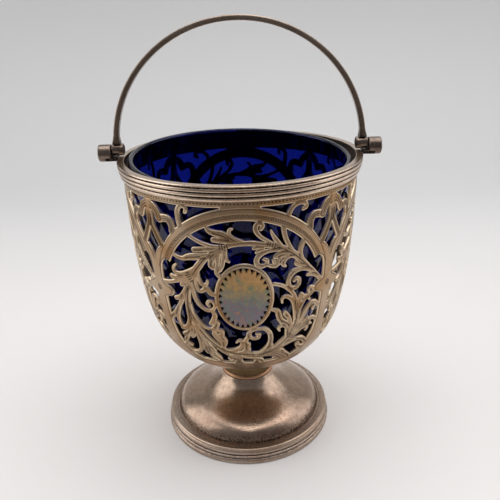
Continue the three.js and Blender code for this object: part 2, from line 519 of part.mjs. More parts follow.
// Openings of the window under the arch
function windowOpenings() {
  const arch = archArc(ARCH.inner, -springing, springing, 20);
  const field = openField([...mirrored(WINDOW_SIDE.slice(1)), ...arch]);
  const wreath = [
    STEMS, UPPER_LEFT_LEAVES, UPPER_RIGHT_LEAVES, LEFT_LEAVES, RIGHT_LEAVES, BOTTOM_LEAVES,
  ];
  wreath.flat().forEach((numbers) => addStrand(field, numbers, DRAWING.middle));
  const across = (SHIELD.across - DRAWING.middle) * UNITS_PER_DEGREE;
  const shield = new THREE.EllipseCurve(across, SHIELD.down, SHIELD.halfWidth, SHIELD.halfHeight);
  addSolid(field, shield.getPoints(SHIELD.sides).slice(1).map((point) => point.toArray()));
  addSolid(field, mirrored(BOSS_SIDE, -HALF_PANEL));
  addSolid(field, mirrored(BOSS_SIDE, HALF_PANEL));
  return outlinesOf(field);
}

// Openings of the spandrel over a pilaster, between two arches
function spandrelOpenings() {
  const shoulder = toFlat(SHOULDER);
  const arch = archArc(ARCH.outer, -archSide(ARCH.outer, ARCH.shoulder), -ARCH.crown, 14);
  const rightSide = [
    ...shoulder, ...arch.map(([x, y]) => [x + HALF_PANEL, y]),
    [HALF_PANEL - ARCH.crown, DRAWING.spandrelTop],
  ];
  const leftSide = rightSide.slice(1).reverse().map(([x, y]) => [-x, y]);
  const field = openField([...rightSide, ...leftSide]);
  SPANDREL.forEach((numbers) => addStrand(field, numbers, 0));
  SPANDREL.forEach((numbers) => addStrand(field, numbers, 0, -1));
  HOOKS.forEach((numbers) => addStrand(field, numbers, 0));
  return outlinesOf(field);
}

// Thinned outlines of a grid's openings, without the smallest. Each grid square is two triangles,
// and an outline crosses the triangle sides between a metal corner and an open one.
function outlinesOf(field) {
  const next = new Map();
  const side = (a, b) => (a < b ? `${a} ${b}` : `${b} ${a}`);
  const cross = (corners) => {
    const open = corners.filter((corner) => field[corner] < 0).length;
    if (open === 0 || open === 3) return;
    const lone = corners.findIndex((corner) => (field[corner] < 0) === (open === 1));
    const ends = [1, 2].map((step) => side(corners[lone], corners[(lone + step) % 3]));
    if (open === 2) ends.reverse();
    next.set(...ends);
  };
  for (let j = 0; j < gridHeight - 1; j += 1) {
    for (let i = 0; i < gridWidth - 1; i += 1) {
      const at = j * gridWidth + i;
      cross([at, at + 1, at + gridWidth + 1]);
      cross([at, at + gridWidth + 1, at + gridWidth]);
    }
  }
  const outlines = [];
  while (next.size > 0) {
    const outline = [];
    let at = next.keys().next().value;
    while (next.has(at)) {
      outline.push(crossing(field, at));
      const following = next.get(at);
      next.delete(at);
      at = following;
    }
    outlines.push(outline);
  }
  return outlines.filter((outline) => area(outline) > CUTTING.smallest).map((outline) => thinned(outline));
}

// Where the metal's edge crosses one side of a grid triangle
function crossing(field, side) {
  const [a, b] = side.split(' ').map(Number);
  const share = field[a] / (field[a] - field[b]);
  const [from, to] = [gridPoint(a), gridPoint(b)];
  return [from[0] + (to[0] - from[0]) * share, from[1] + (to[1] - from[1]) * share];
}

function area(outline) {
  return THREE.ShapeUtils.area(outline.map(([x, y]) => new THREE.Vector2(x, y)));
}

// A closed outline with the points left out that lie near the straight line between the others
function thinned(outline, tolerance = CUTTING.tolerance) {
  const far = outline.reduce((best, point, i) => (
    apart(point, outline[0]) > apart(outline[best], outline[0]) ? i : best
  ), 0);
  const first = thinnedRun(outline.slice(0, far + 1), tolerance);
  const second = thinnedRun([...outline.slice(far), outline[0]], tolerance);
  const kept = [...first.slice(0, -1), ...second.slice(0, -1)];
  return crosses(kept) ? thinned(outline, tolerance / 2) : kept;
}

function turnOf(a, b, c) {
  return (b[0] - a[0]) * (c[1] - a[1]) - (b[1] - a[1]) * (c[0] - a[0]);
}

function apart(a, b) {
  return Math.hypot(a[0] - b[0], a[1] - b[1]);
}

function thinnedRun(run, tolerance) {
  const start = run[0];
  const end = run.at(-1);
  const length = Math.max(apart(start, end), 1e-9);
  let worst = 0;
  let worstAt = 0;
  run.forEach((point, i) => {
    const off = Math.abs(turnOf(start, end, point)) / length;
    if (off > worst) {
      worst = off;
      worstAt = i;
    }
  });
  if (worst <= tolerance) return [start, end];
  const before = thinnedRun(run.slice(0, worstAt + 1), tolerance);
  return [...before.slice(0, -1), ...thinnedRun(run.slice(worstAt), tolerance)];
}

function crosses(outline) {
  const count = outline.length;
  const side = (k) => [outline[k], outline[(k + 1) % count]];
  return outline.some((_, i) => outline.slice(i + 2).some((_, k) => {
    if (i === 0 && k === count - 3) return false;
    const [a, b] = side(i);
    const [c, d] = side(i + 2 + k);
    return turnOf(a, b, c) * turnOf(a, b, d) < 0 && turnOf(c, d, a) * turnOf(c, d, b) < 0;
  }));
}

// The line where a panel ends and the next begins, on solid metal all the way: from the bowl's
// top edge down the arch's crown, along its right half and down the pilaster
function panelSeam() {
  const middle = (ARCH.inner + ARCH.outer) / 2;
  const arch = archArc(middle, 0, archSide(middle, ARCH.seamFoot), 6);
  const pilaster = PANEL_SEAM.map(([across, down]) => [HALF_PANEL - across, down]);
  return divided([[0, -DRAWING.border], ...arch, ...pilaster, [HALF_PANEL, DRAWING.reach]]);
}

// A line with points added where two are far apart
function divided(line) {
  return line.slice(1).reduce((points, to, k) => {
    const from = line[k];
    const parts = Math.ceil(apart(from, to) / CUTTING.longestEdge);
    for (let i = 1; i <= parts; i += 1) {
      points.push([0, 1].map((axis) => from[axis] + ((to[axis] - from[axis]) * i) / parts));
    }
    return points;
  }, [line[0]]);
}

// One flat panel with its openings: a window and, over its left pilaster, a spandrel
function flatPanel() {
  const pitch = 2 * HALF_PANEL;
  const shifted = (line, shift) => line.map(([x, y]) => [x + shift, y]);
  const seam = panelSeam();
  const columns = Array.from({ length: PANEL_FACETS - 1 }, (_, k) => ((k + 1) * pitch) / PANEL_FACETS);
  const contour = [
    ...shifted(seam, -pitch), ...columns.map((x) => [x - HALF_PANEL, DRAWING.reach]),
    ...seam.toReversed(), ...columns.toReversed().map((x) => [x - pitch, -DRAWING.border]),
  ];
  const spandrels = spandrelOpenings().map((outline) => shifted(outline, -HALF_PANEL));
  const openings = [...windowOpenings(), ...spandrels].map((outline) => (
    divided([...outline, outline[0]]).slice(0, -1)
  ));
  const lines = [contour, ...openings];
  const clear = (point) => inside(point, contour) && lines.every((line) => line.every((from, k) => (
    toSegment(point, from, line[(k + 1) % line.length]).gap > CUTTING.longestEdge / 3
  )) && (line === contour || !inside(point, line)));
  const tall = DRAWING.reach + DRAWING.border;
  const rows = Math.round(tall / CUTTING.longestEdge);
  const between = [];
  for (let j = 1; j < rows; j += 1) {
    for (let i = -PANEL_FACETS; i < PANEL_FACETS / 2; i += 1) {
      between.push([(i * pitch) / PANEL_FACETS, (j * tall) / rows - DRAWING.border]);
    }
  }
  const holes = [...openings, ...between.filter(clear).map((point) => [point])];
  const triangles = THREE.ShapeUtils.triangulateShape(bulged(contour), holes.map(bulged));
  const points = [...contour, ...holes.flat()];
  return { points, triangles: evened(points, triangles) };
}

// The points of a line with straight runs bowed outwards a little, so that none is passed over
function bulged(line) {
  const middle = (DRAWING.reach - DRAWING.border) / 2;
  return line.map(([x, y]) => new THREE.Vector2(
    x - CUTTING.bulge * (x + HALF_PANEL / 2) * (y - middle) ** 2,
    y - CUTTING.bulge * (y - middle) * x ** 2,
  ));
}

// The same triangles with shared sides swapped wherever that makes a pair less narrow
function evened(points, triangles) {
  const at = (corners) => corners.map((corner) => points[corner]);
  const angle = (tip, from, to) => {
    const [a, b, c] = at([tip, from, to]);
    const dot = (b[0] - a[0]) * (c[0] - a[0]) + (b[1] - a[1]) * (c[1] - a[1]);
    return Math.atan2(Math.abs(turnOf(a, b, c)), dot);
  };
  for (let pass = 0, swaps = 1; swaps > 0 && pass < CUTTING.passes; pass += 1) {
    swaps = 0;
    const owners = new Map();
    triangles.forEach((corners, t) => corners.forEach((a, k) => {
      owners.set(`${a} ${corners[(k + 1) % 3]}`, [t, corners[(k + 2) % 3]]);
    }));
    const touched = new Set();
    owners.forEach(([first, c], side) => {
      const [a, b] = side.split(' ').map(Number);
      const [second, d] = owners.get(`${b} ${a}`) ?? [first];
      if (touched.has(first) || touched.has(second) || second === first) return;
      if (angle(c, a, b) + angle(d, a, b) < Math.PI + 1e-6) return;
      if (turnOf(...at([a, d, c])) <= 0 || turnOf(...at([d, b, c])) <= 0) return;
      triangles[first] = [a, d, c];
      triangles[second] = [d, b, c];
      touched.add(first).add(second);
      swaps += 1;
    });
  }
  return triangles;
}

// Distance down the bowl's side of a height in the drawing
function downSide(y) {
  const border = (BORDER_DEPTH * Math.min(y + DRAWING.border, DRAWING.border)) / DRAWING.border;
  return border + (PIERCED_REACH * Math.max(y, 0)) / DRAWING.reach;
}

// The bowl's sheet as a surface with no thickness: the panels side by side and the closed cup below
// them. A place is a turn round the bowl and a distance down its side.
function bowlSurface() {
  const quarter = (2 * Math.PI) / PANELS;
  const spread = quarter / (2 * HALF_PANEL);
  const places = [];
  const corners = new Map();
  const corner = (turn, distance) => {
    const [radius, height] = sheetPoint(distance, 0);
    const spot = [radius * Math.sin(turn), -radius * Math.cos(turn), height];
    const key = spot.map((value) => Math.round(value / MERGE_WITHIN)).join(' ');
    if (!corners.has(key)) {
      corners.set(key, places.length);
      places.push([turn, distance]);
    }
    return corners.get(key);
  };

  const triangles = [];
  const panel = flatPanel();
  for (let i = 0; i < PANELS; i += 1) {
    const own = panel.points.map(([x, y]) => corner(x * spread + i * quarter, downSide(y)));
    panel.triangles.forEach((triangle) => triangles.push(triangle.map((k) => own[k])));
  }
  const cupTop = downSide(DRAWING.reach);
  const rows = CUP_ROWS.map((share) => cupTop + (bowlLength - cupTop) * share);
  rows.slice(1).forEach((lower, k) => {
    for (let i = 0; i < FACETS; i += 1) {
      const [left, right] = [i, i + 1].map((column) => (column * 2 * Math.PI) / FACETS);
      const [a, b] = [corner(left, rows[k]), corner(right, rows[k])];
      const [c, d] = [corner(right, lower), corner(left, lower)];
      triangles.push([a, b, c]);
      if (c !== d) triangles.push([a, c, d]);
    }
  });
  return { places, triangles };
}

// The bowl's surface, the same again inside it, and walls along every free edge
function piercedBowl() {
  const { places, triangles } = bowlSurface();
  const count = places.length;
  const free = new Map();
  triangles.forEach((triangle) => triangle.forEach((a, k) => {
    const b = triangle[(k + 1) % 3];
    if (!free.delete(`${b} ${a}`)) free.set(`${a} ${b}`, [a, b]);
  }));
  const index = triangles.flatMap(([a, b, c]) => [a, b, c, count + c, count + b, count + a]);
  free.forEach(([a, b]) => index.push(b, a, count + a, b, count + a, count + b));
  const positions = [0, -BOWL_SHEET].flatMap((lift) => places.flatMap(([turn, distance]) => {
    const edge = distance === 0;
    const [radius, height] = sheetPoint(distance, edge ? 0 : lift);
    const out = edge ? radius + lift : radius;
    return [out * Math.sin(turn), -out * Math.cos(turn), height];
  }));
  const geometry = new THREE.BufferGeometry();
  geometry.setAttribute('position', new THREE.Float32BufferAttribute(positions, 3));
  geometry.setIndex(index);
  return geometry;
}

function rimBand() {
  const inner = BOWL_RADIUS - BOWL_SHEET + SEAM;
  const seat = BOWL_RADIUS + SEAM;
  const bottom = bowlTop + SEAM + RIM_CAP - RIM_HEIGHT;
  const face = reedLine(rimTop, bottom, rimRadius, BOWL_RADIUS + RIM_LIP, RIM_REEDS, RIM_REED);
  return turned(closedLine([
    [inner, bowlTop + SEAM], [inner, rimTop], ...face, [seat, bottom], [seat, bowlTop + SEAM],
  ]));
}

// Outer line of the foot's sheet, from the neck down over the shoulder to the flange
function footLine() {
  const flange = BORDER_HEIGHT - SEAM;
  const line = [
    [0, 1], [0.048, 0.883], [0.118, 0.788], [0.203, 0.702], [0.289, 0.628], [0.385, 0.563],
    [0.492, 0.504], [0.599, 0.449], [0.706, 0.391], [0.791, 0.336], [0.856, 0.284],
    [0.909, 0.226], [0.957, 0.149], [0.987, 0.071], [1, 0.017],
  ].map(([out, up]) => [
    NECK_RADIUS + (DOME_RADIUS - NECK_RADIUS) * out,
    flange + (FOOT_HEIGHT - flange) * up,
  ]);
  return [...line, [DOME_RADIUS + SEAM, flange]];
}

function footDome() {
  const outer = footLine();
  const inner = offsetLine(outer, -FOOT_SHEET);
  const flangeEnd = BORDER_INNER_RADIUS - SEAM;
  const flangeTop = BORDER_HEIGHT - SEAM;
  inner[inner.length - 1] = [DOME_RADIUS - FOOT_SHEET, flangeTop - FOOT_SHEET];
  inner[0][1] = FOOT_HEIGHT - FOOT_SHEET;
  return turned([
    [0, FOOT_HEIGHT], ...outer, [flangeEnd, flangeTop], [flangeEnd, flangeTop - FOOT_SHEET],
    ...inner.reverse(), [0, FOOT_HEIGHT - FOOT_SHEET],
  ]);
}

// Border ring: a leaning face of broad reeds, a flat top and a ledge under the foot's flange
function footBorder() {
  const ledgeTop = BORDER_HEIGHT - 2 * SEAM - FOOT_SHEET;
  const ledgeInner = BORDER_INNER_RADIUS - FOOT_LEDGE_WIDTH;
  const width = BORDER_TOP_RADIUS - BORDER_INNER_RADIUS;
  const crown = [[0.08, 0.6], [0.22, 0.93], [0.5, 1], [1, 0.95]].map(([inwards, up]) => [
    BORDER_TOP_RADIUS - width * inwards,
    BORDER_FACE_HEIGHT + (BORDER_HEIGHT - BORDER_FACE_HEIGHT) * up,
  ]);
  const face = reedLine(
    BORDER_FACE_HEIGHT, 0, BORDER_TOP_RADIUS, FOOT_RADIUS, BORDER_REEDS, BORDER_REED,
  );
  return turned(closedLine([
    [BORDER_INNER_RADIUS + FOOT_LEDGE_WIDTH, 0], [FOOT_RADIUS - BORDER_REED, 0],
    ...face.reverse(), ...crown,
    [BORDER_INNER_RADIUS, ledgeTop], [ledgeInner, ledgeTop], [ledgeInner, ledgeTop - FOOT_LEDGE],
  ]));
}

function neckRing() {
  const bottom = FOOT_HEIGHT + SEAM;
  const bore = RING_TOP_RADIUS / 2;
  return turned(closedLine([
    [bore, bottom], [NECK_RADIUS - RING_ROUND / 2, bottom], [NECK_RADIUS, bottom + RING_ROUND],
    [NECK_RADIUS - RING_ROUND, bottom + RING_HEIGHT / 2], [RING_TOP_RADIUS, ringTop], [bore, ringTop],
  ]));
}

function stem() {
  const bottom = ringTop + SEAM;
  const line = new THREE.SplineCurve([
    [STEM_RADIUS, 0], [STEM_WAIST, 0.35], [STEM_WAIST + 0.2, 0.75], [STEM_SEAT_RADIUS, 1],
  ].map(([radius, up]) => new THREE.Vector2(radius, bottom + STEM_HEIGHT * up)));
  const side = line.getPoints(6).map((point) => [point.x, point.y]);
  return turned([[0, bottom], ...side, [0, stemTop]]);
}

function linerLine(inset, bottom, slope) {
  const points = LINER_ROWS.map((share) => {
    const [radius, height] = sheetPoint(bowlLength * share, -BOWL_SHEET - LINER_CLEARANCE);
    const narrower = (bowlTop - height) * (slope + LINER_NARROWING / BOWL_DEPTH);
    return [radius - narrower - inset, height];
  });
  const least = LINER_HEEL / 10;
  const side = points.filter(([radius, height]) => height > bottom + least && radius > LINER_HEEL);
  return [...side, [side.at(-1)[0] - LINER_HEEL, bottom]];
}

// The liner gets narrower downwards by as much as its lean takes it sideways. Its lip is rounded;
// it leans about a point level with the bowl's top edge.
function glassLiner() {
  const slope = Math.tan(Math.hypot(LEAN_LEFT, LEAN_BACK));
  const bottom = bowlBottom + BOWL_SHEET + LINER_SEAT_GAP + (BOWL_RADIUS / 3) * slope;
  const outer = linerLine(0, bottom, slope);
  const inner = linerLine(LINER_WALL, bottom + LINER_WALL, slope);
  const top = rimTop - LIP_DROP;
  const lip = outer[0][0];
  const mouth = inner[0][0];
  const profile = [
    [0, bottom], ...outer.reverse(),
    [lip, top - LIP_ROUND], [lip - LIP_ROUND / 3, top - LIP_ROUND / 4], [(lip + mouth) / 2, top],
    [mouth + LIP_ROUND / 3, top - LIP_ROUND / 4], [mouth, top - LIP_ROUND], ...inner,
    [0, bottom + LINER_WALL],
  ];
  const mesh = new THREE.Mesh(closed(turned(profile).translate(0, 0, -bowlTop)), cobaltGlass);
  mesh.rotation.set(LEAN_BACK, LEAN_LEFT, 0);
  mesh.position.set(0, -LINER_FORWARD, bowlTop);
  mesh.name = 'glass_liner';
  return mesh;
}

// The strap's bow: an upright half oval about the hinge axis, from knuckle to knuckle
class Bow extends THREE.Curve {
  getPoint(share, target = new THREE.Vector3()) {
    const half = STRAP_THICKNESS / 2;
    const start = Math.asin((KNUCKLE_RADIUS + SEAM) / (handleRise - STRAP_THICKNESS));
    const turn = start + share * (Math.PI - 2 * start);
    const across = (handleRadius - half) * Math.cos(turn);
    return target.set(across, 0, pivotHeight + (handleRise - half) * Math.sin(turn));
  }
}

// A flat band with a raised thread along each edge of its outer face, narrower towards its ends
function handleStrap() {
  const half = STRAP_WIDTH / 2;
  const face = STRAP_THICKNESS / 2;
  const soft = STRAP_SOFTENING;
  const channel = half - STRAP_THREAD_WIDTH;
  const section = new THREE.Shape([
    [-half, -face + soft], [-half + soft, -face], [half - soft, -face], [half, -face + soft],
    [half, face - soft], [half - soft, face], [channel, face - STRAP_THREAD],
    [-channel, face - STRAP_THREAD], [-half + soft, face], [-half, face - soft],
  ].map(([x, y]) => new THREE.Vector2(x, y)));
  const strap = new THREE.ExtrudeGeometry(section, { steps: FACETS, extrudePath: new Bow() });
  const position = strap.attributes.position;
  for (let i = 0; i < position.count; i += 1) {
    const rise = THREE.MathUtils.clamp((position.getZ(i) - pivotHeight) / handleRise, 0, 1);
    const width = STRAP_END_WIDTH + (STRAP_WIDTH - STRAP_END_WIDTH) * rise;
    position.setY(i, (position.getY(i) * width) / STRAP_WIDTH);
  }
  return strap;
}

// A round bar along X with its middle line at a height, from one distance to another
function bar(radius, from, to, height) {
  const cylinder = new THREE.CylinderGeometry(radius, radius, to - from, BAR_SIDES);
  return cylinder.rotateZ(-Math.PI / 2).translate((from + to) / 2, 0, height);
}

function knuckle() {
  const outer = knuckleInner + KNUCKLE_LENGTH;
  const barrel = solid(bar(KNUCKLE_RADIUS, knuckleInner, outer, pivotHeight));
  const bore = solid(bar(PIN_RADIUS + HINGE_RUNNING_GAP, knuckleInner - 1, outer + 1, pivotHeight));
  return geometryOf(barrel.subtract(bore));
}

function hingePin() {
  return bar(PIN_RADIUS, knuckleInner + SEAM, lugInner + PIN_DEPTH - SEAM, pivotHeight);
}

function lug() {
  const axis = pivotHeight - LUG_DROP;
  const end = lugInner + LUG_LENGTH;
  const barrel = new THREE.LatheGeometry([
    [0, lugInner], [LUG_RADIUS - LUG_EDGE, lugInner], [LUG_RADIUS, lugInner + LUG_EDGE],
    [LUG_RADIUS, end - LUG_NOSE], [LUG_RADIUS - LUG_NOSE / 2, end - LUG_NOSE / 3],
    [LUG_RADIUS / 2, end], [0, end],
  ].map(([x, y]) => new THREE.Vector2(x, y)), LUG_SIDES);
  barrel.rotateZ(-Math.PI / 2).translate(0, 0, axis);
  const tongueInner = rimRadius + SEAM;
  const tongueEnd = lugInner + LUG_LENGTH / 2;
  const tongue = new THREE.BoxGeometry(tongueEnd - tongueInner, TONGUE_WIDTH, TONGUE_THICKNESS);
  tongue.translate((tongueInner + tongueEnd) / 2, 0, rimTop - TONGUE_THICKNESS / 2);
  const bore = bar(PIN_RADIUS + SEAM / 2, lugInner - 1, lugInner + PIN_DEPTH, pivotHeight);
  return geometryOf(solid(barrel).add(solid(tongue)).subtract(solid(bore)));
}

function piece(name, geometry, material = silver) {
  const mesh = new THREE.Mesh(closed(geometry), material);
  mesh.name = name;
  return mesh;
}

// The same piece on the left and, turned half round the middle, on the right
function pair(name, geometry) {
  const left = piece(`${name}_left`, geometry.clone().rotateZ(Math.PI));
  return [left, piece(`${name}_right`, geometry)];
}

const foot = new THREE.Group();
foot.add(
  piece('foot_dome', footDome()),
  piece('foot_border', footBorder()),
  piece('neck_ring', neckRing(), copperTint),
  piece('stem', stem()),
);

const bowl = new THREE.Group();
bowl.add(
  piece('pierced_bowl', piercedBowl()),
  piece('rim_band', rimBand()),
  ...pair('lug', lug()),
  ...pair('hinge_pin', hingePin()),
);

const handle = new THREE.Group();
handle.add(piece('handle_strap', handleStrap()), ...pair('handle_knuckle', knuckle()));

const basket = new THREE.Group();
basket.add(foot, bowl, handle, glassLiner());

export default basket;
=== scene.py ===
"""Pedestal basket: pierced silver bowl on a spun foot, swing handle and blue glass liner."""
import math

import bmesh
import bpy
import numpy as np
from mathutils import Matrix, Vector


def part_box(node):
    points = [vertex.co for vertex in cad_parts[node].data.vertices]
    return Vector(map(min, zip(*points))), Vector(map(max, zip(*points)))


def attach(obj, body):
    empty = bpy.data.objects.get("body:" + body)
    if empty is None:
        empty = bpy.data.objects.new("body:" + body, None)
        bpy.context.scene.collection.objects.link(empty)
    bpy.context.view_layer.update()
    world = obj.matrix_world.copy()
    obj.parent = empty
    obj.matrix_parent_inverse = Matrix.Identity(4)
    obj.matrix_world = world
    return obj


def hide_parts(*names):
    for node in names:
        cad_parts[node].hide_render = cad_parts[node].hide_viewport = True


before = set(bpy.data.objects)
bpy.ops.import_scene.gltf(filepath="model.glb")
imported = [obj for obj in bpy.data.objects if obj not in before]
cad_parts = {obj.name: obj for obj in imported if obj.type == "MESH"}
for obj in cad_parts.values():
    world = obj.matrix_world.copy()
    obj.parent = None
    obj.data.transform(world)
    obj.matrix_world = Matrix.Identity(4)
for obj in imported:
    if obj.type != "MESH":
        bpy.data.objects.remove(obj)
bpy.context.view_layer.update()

# Foot border
# The ring that the basket stands on: heavy drawn silver wire, bent round and soldered under the
# foot's edge. Its side leans inwards and carries three broad reeds, and its top is flat.
mm = 0.001
border_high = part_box("foot_border")[1]
foot_radius = border_high[0] / mm
border_height = border_high[2] / mm
border_face_height = 5.5
border_top_radius = 32.6
border_inner_radius = 30.2
border_face_inset = 0.04
border_face_lift = 0.02


def smooth_line(points, parts):
    """A smooth line through the points, with that many steps from one to the next."""
    line = np.array(points, dtype=float)
    last = len(line) - 1
    start = line[:-1]
    end = line[1:]
    lead_in = (end - line[[max(i - 1, 0) for i in range(last)]]) / 2
    lead_out = (line[[min(i + 2, last) for i in range(last)]] - start) / 2
    t = (np.arange(parts) / parts)[None, :, None]
    start, end, lead_in, lead_out = (part[:, None, :] for part in (start, end, lead_in, lead_out))
    curve = (
        (2 * start - 2 * end + lead_in + lead_out) * t**3
        + (3 * end - 3 * start - 2 * lead_in - lead_out) * t**2
        + lead_in * t
        + start
    )
    return np.vstack([curve.reshape(-1, line.shape[1]), line[-1:]])


def turned_mesh(name, profile, around=240):
    """A mesh turned round Z from [radius, height, dirt] in mm, from axis to axis or a closed line."""
    line = np.array(profile, dtype=float)
    closes = bool(np.allclose(line[0], line[-1]) and line[0][0] > 0)
    if closes:
        line = line[:-1]
    turns = np.arange(around) * 2 * math.pi / around
    places, dirt, rows = [], [], []
    for radius, height, grime in line:
        on_axis = radius < 1e-6
        first = len(places)
        for turn in turns[: 1 if on_axis else around]:
            places.append((radius * math.sin(turn) * mm, -radius * math.cos(turn) * mm, height * mm))
            dirt.append(grime)
        rows.append([first] * around if on_axis else list(range(first, first + around)))
    faces = []
    for upper, lower in zip(rows, rows[1:] + rows[:1] if closes else rows[1:]):
        for k in range(around):
            j = (k + 1) % around
            face = list(dict.fromkeys([upper[k], upper[j], lower[j], lower[k]]))
            if len(face) > 2:
                faces.append(face)
    mesh = bpy.data.meshes.new(name)
    mesh.from_pydata(places, [], faces)
    mesh.attributes.new("dirt", "FLOAT", "POINT").data.foreach_set("value", dirt)
    return mesh


def finished(name, mesh, material, body, crease=40):
    """A finished piece: faces outwards, smooth with sharp creases, one material, riding on a body."""
    work = bmesh.new()
    work.from_mesh(mesh)
    bmesh.ops.remove_doubles(work, verts=work.verts, dist=1e-7)
    bmesh.ops.recalc_face_normals(work, faces=work.faces)
    work.to_mesh(mesh)
    work.free()
    mesh.shade_smooth()
    mesh.set_sharp_from_angle(angle=math.radians(crease))
    mesh.materials.clear()
    mesh.materials.append(material)
    piece = bpy.data.objects.new(name, mesh)
    bpy.context.collection.objects.link(piece)
    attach(piece, body)
    return piece


def fill(node, inputs):
    """Give a node's inputs their values, or links from other nodes' sockets."""
    for key, value in inputs.items():
        if isinstance(value, bpy.types.NodeSocket):
            node.id_data.links.new(value, node.inputs[key])
        else:
            node.inputs[key].default_value = value


def add_node(tree, kind, inputs=None, **settings):
    """A new node in a tree, with its settings made and its inputs filled."""
    node = tree.nodes.new(kind)
    for key, value in settings.items():
        setattr(node, key, value)
    fill(node, inputs or {})
    return node


class Finish:
    """A material with one shader, and short ways to add the nodes that paint it."""

    def __init__(self, name):
        self.material = bpy.data.materials.new(name)
        self.material.use_nodes = True
        self.tree = self.material.node_tree
        self.tree.nodes.clear()
        self.shader = self.add("ShaderNodeBsdfPrincipled")
        self.add("ShaderNodeOutputMaterial", {"Surface": self.shader.outputs["BSDF"]})
        self.place = self.add("ShaderNodeTexCoord").outputs["Object"]

    def add(self, kind, inputs=None, **settings):
        """A node of any kind."""
        return add_node(self.tree, kind, inputs, **settings)

    def noise(self, scale, detail, roughness=0.5, place=None):
        """Cloudy noise over the piece."""
        vector = self.place if place is None else place
        inputs = {"Vector": vector, "Scale": scale, "Detail": detail, "Roughness": roughness}
        return self.add("ShaderNodeTexNoise", inputs).outputs["Fac"]

    def spread(self, value, low, high, to_low=0.0, to_high=1.0):
        """A value between low and high, spread over another range and held within it."""
        inputs = {"Value": value, "From Min": low, "From Max": high, "To Min": to_low, "To Max": to_high}
        return self.add("ShaderNodeMapRange", inputs).outputs["Result"]

    def times(self, value, factor, plus=0.0, use_clamp=False):
        """A value times a factor, plus another value."""
        inputs = {0: value, 1: factor, 2: plus}
        made = self.add("ShaderNodeMath", inputs, operation="MULTIPLY_ADD", use_clamp=use_clamp)
        return made.outputs[0]

    def mixed(self, share, first, second):
        """The first colour, turning into the second by a share."""
        made = self.add("ShaderNodeMix", {"Factor": share, "A": first, "B": second}, data_type="RGBA")
        return made.outputs["Result"]

    def bumps(self, height, strength, distance):
        """A surface roughened by a height."""
        inputs = {"Height": height, "Strength": strength, "Distance": distance}
        return self.add("ShaderNodeBump", inputs).outputs["Normal"]


def colour(red, green, blue):
    """A colour written as 0 to 255 values, in the linear form that a shader takes."""
    parts = [value / 255 for value in (red, green, blue)]
    return (*[part / 12.92 if part <= 0.04045 else ((part + 0.055) / 1.055) ** 2.4 for part in parts], 1.0)


def silver(name, clean, stain, grime, rough, patch=28.0, stain_share=0.5, scratch=0.12, pits=0.0):
    """Worn silver: clean metal, tarnish in patches, grime by the dirt attribute, fine scratches."""
    finish = Finish(name)
    clouds = finish.times(finish.noise(patch, detail=5.0, roughness=0.62), 0.72)
    clouds = finish.times(finish.noise(patch * 30, detail=4.0), 0.28, plus=clouds)
    stained = finish.spread(clouds, low=0.38, high=0.62, to_high=stain_share * 1.6)
    tarnish = finish.mixed(stained, clean, stain)
    speckle = finish.noise(1500.0, detail=3.0)
    pitted = finish.spread(speckle, low=0.58, high=0.74, to_high=pits)
    uneven = finish.spread(speckle, low=0.35, high=0.65, to_low=0.45, to_high=1.5)
    dirt = finish.add("ShaderNodeAttribute", attribute_name="dirt").outputs["Fac"]
    dark = finish.times(dirt, uneven, plus=pitted, use_clamp=True)
    shine = finish.spread(clouds, low=0.3, high=0.7, to_low=rough * 0.75, to_high=rough * 1.35)
    stretched = finish.add(
        "ShaderNodeMapping", {"Vector": finish.place, "Rotation": (0.4, 0.2, 0.7), "Scale": (260, 3200, 900)}
    )
    scratches = finish.noise(1.0, detail=3.0, place=stretched.outputs["Vector"])
    fill(finish.shader, {
        "Base Color": finish.mixed(dark, tarnish, grime),
        "Metallic": 1.0,
        "Roughness": finish.times(dark, 0.3, plus=shine),
        "Normal": finish.bumps(scratches, strength=scratch, distance=0.0002),
    })
    return finish.material


border_silver = silver(
    "Border silver", colour(202, 182, 164), colour(156, 130, 108), colour(100, 90, 88), rough=0.26
)
border_width = border_top_radius - border_inner_radius
border_line = [list(point) for point in smooth_line([
    [border_inner_radius, border_height - 0.03, 0.45],
    [border_inner_radius + border_width * 0.5, border_height, 0.42],
    [border_top_radius - border_width * 0.2, border_height - 0.04, 0.2],
    [border_top_radius - border_width * 0.05, border_height - 0.3, 0],
], 6)]

# Down the border's face: where each reed or groove starts and ends, how deep it is, and its grime
for kind, top, bottom, depth, grime in (
    ("reed", 0.08, 0.34, 0.3, 0.1), ("groove", 0.34, 0.44, 0.6, 1.0), ("reed", 0.44, 0.56, 0.22, 0.2),
    ("groove", 0.56, 0.68, 0.7, 1.0), ("reed", 0.68, 0.98, 0.34, 0.2),
):
    for share in (0.0, 0.12, 0.3, 0.5, 0.7, 0.88, 1.0) if kind == "reed" else (0.3, 0.5, 0.7):
        down = top + (bottom - top) * share
        hollow = depth * (1 - math.sqrt(1 - (2 * share - 1) ** 2)) if kind == "reed" else depth
        radius = border_top_radius + (foot_radius - border_top_radius) * down
        height = border_face_height * (1 - down) + border_face_lift
        border_line.append([radius - hollow - border_face_inset, height, grime + hollow])
border_line += [
    [foot_radius - 0.5, 0, 0.6], [border_inner_radius + 1.2, 0, 0.6],
    [border_inner_radius - 1.2, 2.8, 0.7], [border_inner_radius - 1.2, 5.0, 0.7],
    [border_inner_radius, 5.0, 0.8], border_line[0],
]
foot_border = finished("Foot_border", turned_mesh("Foot_border", border_line), border_silver, "basket")
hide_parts("foot_border")

